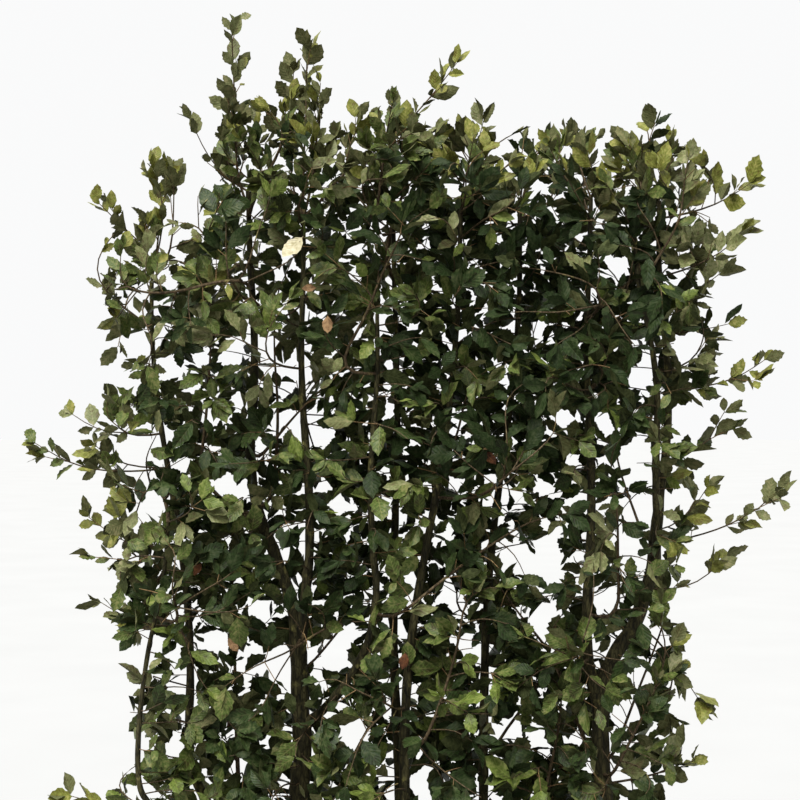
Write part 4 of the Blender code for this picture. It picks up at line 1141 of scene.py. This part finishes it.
# Bark of the first years, thin and smooth: reddish brown to straw on young twigs, greyer on older
young_bark = holm_oak_bark("young_holm_oak_bark", "#40301f", "#695337", "#7f6b49", 0.0015, 0.0003)
twig_bark = holm_oak_bark("holm_oak_twig_bark", "#221b13", "#463a28", "#615440", 0.002, 0.0005)
chains = twig_chains(node_parents, node_load, seat_count, bearing(node_parents, site))
mass_nodes = [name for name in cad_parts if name.startswith(("foliage_", "shoot_"))]
for twig_name, material, wanted in (
    ("twigs_young", young_bark, lambda thick: thick < YOUNG_RADIUS),
    ("twigs_woody", twig_bark, lambda thick: thick >= YOUNG_RADIUS),
):
    shapes = []
    for chain in chains:
        thick = node_radius[[chain[1], *chain[1:]]]
        if wanted(thick[0]):
            shapes.append(closed_tube(rings_round(nodes[chain], thick, TWIG_SIDES)))
    twigs = make_piece(twig_name, *joined(shapes), [material], 80.0)
    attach(twigs, "root")
    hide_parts(*mass_nodes)

# Colours are dealt out by spray: most leaves are dark, those of the last growth are lighter and
# yellower, and a few are dead and brown or have lost their green. In the crown's shaded hearts the
# leaves are darkened, with darker undersides: painted shade.
# Leaves in painted shade, and the dark ones, take the shaded underside, which is darker: painted shade.
UNDERSIDES = {
    "deep": "shaded", "dark": "shaded", "green": "open", "fresh": "open", "dusty": "open", "young": "open"
}
CLOUD_WIDTH = 0.035
FLECK_WIDTH = 0.0075
SIDE_VEINS = 8
LEAF_CREASE = 50.0
DEAD_LEAVES = 14
SPRAY_LOAD = 9
LIGHT_LEFT_DEPTH = 0.15
LIGHT_RIGHT_DEPTH = 0.12
LIGHT_SIDE_HEIGHTS = ((0.7, 1.1), (0.2, 1.0))
LIGHT_LEFT_SIDES = ((-0.50, -0.05), (0.40, 0.0))
LIGHT_LEFT_HEIGHTS = ((1.2, 1.5), (0.0, 1.0))
LIGHT_SHOOTS = ((-0.3, 0.3), (1.0, 0.75))
YOUNG_LIGHT = 0.35

# The shaded hearts of the crown, each as its side and height and how far it reaches either way
HEARTS = (
    (0.22, 1.72, 0.36, 0.26), (0.08, 1.33, 0.30, 0.25), (-0.28, 1.06, 0.14, 0.16),
    (0.03, 0.70, 0.15, 0.22),
)


def leaf_material(name, dark, blade, light, roughness, gloss, vein_share):
    """A leaf's finish: flecked and clouded from dark through its own colour to light, with a paler
    rib down the middle and fine side veins that lean towards the tip, pale and a little raised."""
    material, shader = new_material(name, roughness)
    shader.inputs["Specular IOR Level"].default_value = gloss
    place = add_node(material, "ShaderNodeTexCoord").outputs["Object"]
    cloudy, flecked = (
        add_node(
            material, "ShaderNodeTexNoise", values={"Scale": 1.0 / width, "Detail": 3.0},
            links={"Vector": place},
        ).outputs["Fac"]
        for width in (CLOUD_WIDTH, FLECK_WIDTH)
    )
    mottled = add_node(
        material, "ShaderNodeMath", {"operation": "ADD"}, links={0: cloudy, 1: flecked}
    ).outputs["Value"]
    toned = add_node(
        material, "ShaderNodeMath", {"operation": "MULTIPLY"}, {1: 0.5}, {0: mottled}
    ).outputs["Value"]
    plain = colour_ramp(material, toned, ((0.38, dark), (0.64, light), (0.51, blade)))
    run_across = add_node(
        material, "ShaderNodeSeparateXYZ",
        links={"Vector": add_node(material, "ShaderNodeUVMap", {"uv_map": "blade"}).outputs["UV"]},
    )
    from_rib = add_node(
        material, "ShaderNodeMath", {"operation": "ABSOLUTE"},
        links={0: add_node(
            material, "ShaderNodeMath", {"operation": "SUBTRACT"}, {1: 0.5},
            {0: run_across.outputs["Y"]},
        ).outputs["Value"]},
    ).outputs["Value"]
    on_rib = add_node(
        material, "ShaderNodeMapRange",
        values={"From Min": 0.015, "From Max": 0.05, "To Min": vein_share, "To Max": 0.0},
        links={"Value": from_rib},
    ).outputs["Result"]
    leaning = add_node(
        material, "ShaderNodeMath", {"operation": "MULTIPLY_ADD"}, {1: -0.45},
        {0: from_rib, 2: run_across.outputs["X"]},
    ).outputs["Value"]
    veins = add_node(
        material, "ShaderNodeMath", {"operation": "SINE"},
        links={0: add_node(
            material, "ShaderNodeMath", {"operation": "MULTIPLY"},
            {1: 2.0 * math.pi * SIDE_VEINS}, {0: leaning},
        ).outputs["Value"]},
    ).outputs["Value"]
    on_vein = add_node(
        material, "ShaderNodeMapRange",
        values={"From Min": 0.6, "To Min": 0.0, "To Max": 0.7 * vein_share}, links={"Value": veins},
    ).outputs["Result"]
    veined = add_node(
        material, "ShaderNodeMath", {"operation": "MAXIMUM"}, links={0: on_rib, 1: on_vein}
    ).outputs["Value"]
    drawn = add_node(
        material, "ShaderNodeMix", {"data_type": "RGBA"}, {7: linear(light)}, {0: veined, 6: plain}
    ).outputs[2]
    relief = add_node(
        material, "ShaderNodeMath", {"operation": "MULTIPLY_ADD"}, {1: 0.25}, {0: veins, 2: flecked}
    ).outputs["Value"]
    bump = add_node(
        material, "ShaderNodeBump", values={"Strength": 0.6, "Distance": 0.0012},
        links={"Height": relief},
    ).outputs["Normal"]
    material.node_tree.links.new(drawn, shader.inputs["Base Color"])
    material.node_tree.links.new(bump, shader.inputs["Normal"])
    return material


# The underside is felted with fine hairs, which makes it dull and grey-green; the shaded underside is
# darker, painted shade. The upper side is waxed and leathery: nearly black-green in the shaded hearts,
# which is painted shade, greener outside, greyed olive on new growth, partly dust and partly painted
# sheen, and brown and dull once dead. Each has its dark, its middle and its light tone.
undersides = {
    "shaded": leaf_material(
        "holm_oak_leaf_shaded_underside", "#1c200d", "#2a2f18", "#3c4126", 0.75, 0.06, 0.5
    ),
    "open": leaf_material("holm_oak_leaf_underside", "#3b391e", "#4b4f30", "#646041", 0.75, 0.10, 0.5),
}
finishes = {
    # The in-shade finish is painted shade: the nearly black-green of leaves in the crown's shaded hearts.
    "deep": leaf_material("holm_oak_leaf_painted_shade", "#14170b", "#1a2610", "#2f3521", 0.45, 0.05, 0.5),
    "dark": leaf_material("holm_oak_leaf_dark", "#1a1c0c", "#202e13", "#3d4228", 0.42, 0.08, 0.5),
    "green": leaf_material("holm_oak_leaf_green", "#2a2a12", "#38461c", "#5f5f38", 0.42, 0.11, 0.5),
    # The greyed finish is partly dust on the leaves and partly painted sheen from the pale sky.
    "dusty": leaf_material("holm_oak_leaf_dust_and_sheen", "#453f27", "#545a35", "#757152", 0.48, 0.12, 0.4),
    "fresh": leaf_material("holm_oak_leaf_fresh", "#303513", "#44511f", "#646938", 0.42, 0.10, 0.4),
    "young": leaf_material("holm_oak_leaf_young", "#484219", "#595e26", "#7c7742", 0.44, 0.11, 0.4),
    "dead": leaf_material("holm_oak_leaf_dead", "#1f110a", "#3b2213", "#573820", 0.70, 0.08, 0.5),
    "withered": leaf_material(
        "holm_oak_leaf_withered", "#463220", "#675038", "#82684a", 0.70, 0.08, 0.5
    ),
    "faded": leaf_material("holm_oak_leaf_faded", "#807859", "#979074", "#a8a18a", 0.55, 0.11, 0.3),
}


def sprays(parents, load):
    """The spray each node belongs to, named by the lowest node below it that carries few nodes."""
    spray = np.arange(len(parents))
    for k in range(len(parents)):
        if parents[k] >= 0 and load[parents[k]] <= SPRAY_LOAD:
            spray[k] = spray[parents[k]]
    return spray


def newest(points):
    """How much of this year's growth stands at leaves, from 0 to 1: most at the crown's top and on
    shoots that stand out of it."""
    on_shoot = np.interp(points[:, 0], *LIGHT_SHOOTS) * (site_shoot & (inset(points) < 0.0))
    return np.maximum(near_top(points), on_shoot)


def lightness(points):
    """How light the growth at leaves is, from 0 to 1: most where it is newest and at the upper
    sides."""
    side, height = points[:, 0], points[:, 2]
    in_left = side - np.interp(height, *zip(*LEFT_EDGE))
    in_right = np.interp(height, *zip(*RIGHT_EDGE)) - side
    off_side = np.minimum(in_left / LIGHT_LEFT_DEPTH, in_right / LIGHT_RIGHT_DEPTH)
    at_side = np.clip(1.0 - off_side, 0.0, 1.0)
    at_side *= np.interp(height, *LIGHT_SIDE_HEIGHTS)
    on_left = np.interp(side, *LIGHT_LEFT_SIDES) * np.interp(height, *LIGHT_LEFT_HEIGHTS)
    return np.max([newest(points), at_side, on_left], axis=0)


def deal_colours(rng):
    """The finish of each leaf, drawn once for its spray: lighter by the new growth there, and darkest
    in the shaded hearts, painted shade that fades as a bell with the distance from each heart's middle."""
    spray = sprays(node_parents, node_load)[site]
    middles = leaves.mean(axis=1)
    light = lightness(middles)
    hearts = np.array(HEARTS)
    off_heart = (middles[:, None, ::2] - hearts[:, :2]) / hearts[:, 2:]
    heart = np.exp(-(off_heart**2).sum(axis=2)).max(axis=1)
    draw = rng.uniform(0.0, 1.0, len(nodes))[spray]
    # The dark share grows in the shaded hearts, and there the finish is painted shade outright.
    dark_share = np.clip(0.52 - 0.58 * light + 0.40 * heart, 0.0, 0.93)
    # Leaves are greyed more where the growth is lighter: partly dust, partly painted sheen.
    finish = np.where(draw < 0.95 - 0.50 * light, "green", "dusty")
    finish = np.where(draw < dark_share, "dark", finish)
    finish = np.where(draw < 0.95 * heart, "deep", finish)
    fresh_share = 0.03 + 0.20 * light + 0.40 * newest(middles) ** 3 + 0.02 * heart
    fresh = rng.uniform(0.0, 1.0, len(nodes))[spray] < fresh_share
    fresh |= site_tip & (rng.uniform(0.0, 1.0, len(site)) < fresh_share)
    finish = np.where(fresh, np.where(light < YOUNG_LIGHT, "fresh", "young"), finish).astype("<U8")
    inner = np.nonzero((light < 0.05) & (middles[:, 1] > 0.0))[0]
    finish[rng.choice(inner, DEAD_LEAVES, replace=False)] = "dead"
    return np.where(mark != "", mark, finish)


leaf_finish = deal_colours(leaf_rng)
template_faces, template_slots, template_map = leaf_template()
for kind, material in finishes.items():
    chosen = leaves[leaf_finish == kind]
    for part, start in enumerate(range(0, len(chosen), LEAVES_IN_PIECE)):
        some = chosen[start : start + LEAVES_IN_PIECE]
        firsts = np.arange(len(some))[:, None, None] * some.shape[1]
        blades = make_piece(
            f"leaves_{kind}_{part + 1}", some.reshape(-1, 3),
            (firsts + template_faces).reshape(-1, 3),
            [material, undersides.get(UNDERSIDES.get(kind), material)],
            LEAF_CREASE, np.tile(template_slots, len(some)),
            np.tile(template_map, (len(some), 1)),
        )
        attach(blades, "root")
        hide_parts(*mass_nodes)

# The floor is a plain pale sheet, large enough to meet the pale air behind the tree
floor_paint, floor_shader = new_material("pale_studio_floor", 0.9)
floor_shader.inputs["Specular IOR Level"].default_value = 0.0
floor_speck = add_node(
    floor_paint, "ShaderNodeTexNoise", values={"Scale": 1.5, "Detail": 2.0},
    links={"Vector": add_node(floor_paint, "ShaderNodeTexCoord").outputs["Object"]},
).outputs["Fac"]
floor_paint.node_tree.links.new(
    colour_ramp(floor_paint, floor_speck, ((0.3, "#969695"), (0.7, "#989897"))),
    floor_shader.inputs["Base Color"],
)
FLOOR_REACH = 60.0
floor = make_piece(
    "floor",
    np.array([(x, y, 0.0) for x, y in ((-1, -1), (1, -1), (1, 1), (-1, 1))]) * FLOOR_REACH,
    np.array([(0, 1, 2), (0, 2, 3)]), [floor_paint], 60.0,
)

# Light is soft, from a pale sky all round and a wide, high sun in front of the screen and to its left
SUN_HEIGHT = math.radians(58.0)
SUN_TURN = math.radians(-24.0)
world = bpy.data.worlds.new("pale_air")
world.use_nodes = True
world.node_tree.nodes["Background"].inputs["Color"].default_value = (0.955, 0.958, 0.96, 1.0)
world.node_tree.nodes["Background"].inputs["Strength"].default_value = 1.0
bpy.context.scene.world = world
sun_data = bpy.data.lights.new("wide_sun", "SUN")
sun_data.energy = 8.0
sun_data.angle = math.radians(40.0)
sun = bpy.data.objects.new("wide_sun", sun_data)
sun.rotation_euler = (math.pi / 2.0 - SUN_HEIGHT, 0.0, SUN_TURN)
bpy.context.scene.collection.objects.link(sun)
bpy.context.scene.view_settings.view_transform = "Standard"

# The camera stands level at eye height, four metres in front
VIEW_WIDTH = 1.794
camera_data = bpy.data.cameras.new("camera")
camera_data.angle = 2.0 * math.atan(0.5 * VIEW_WIDTH / -EYE[1])
camera = bpy.data.objects.new("camera", camera_data)
camera.location = tuple(EYE)
camera.rotation_euler = (math.pi / 2.0, 0.0, 0.0)
bpy.context.scene.collection.objects.link(camera)
bpy.context.scene.camera = camera
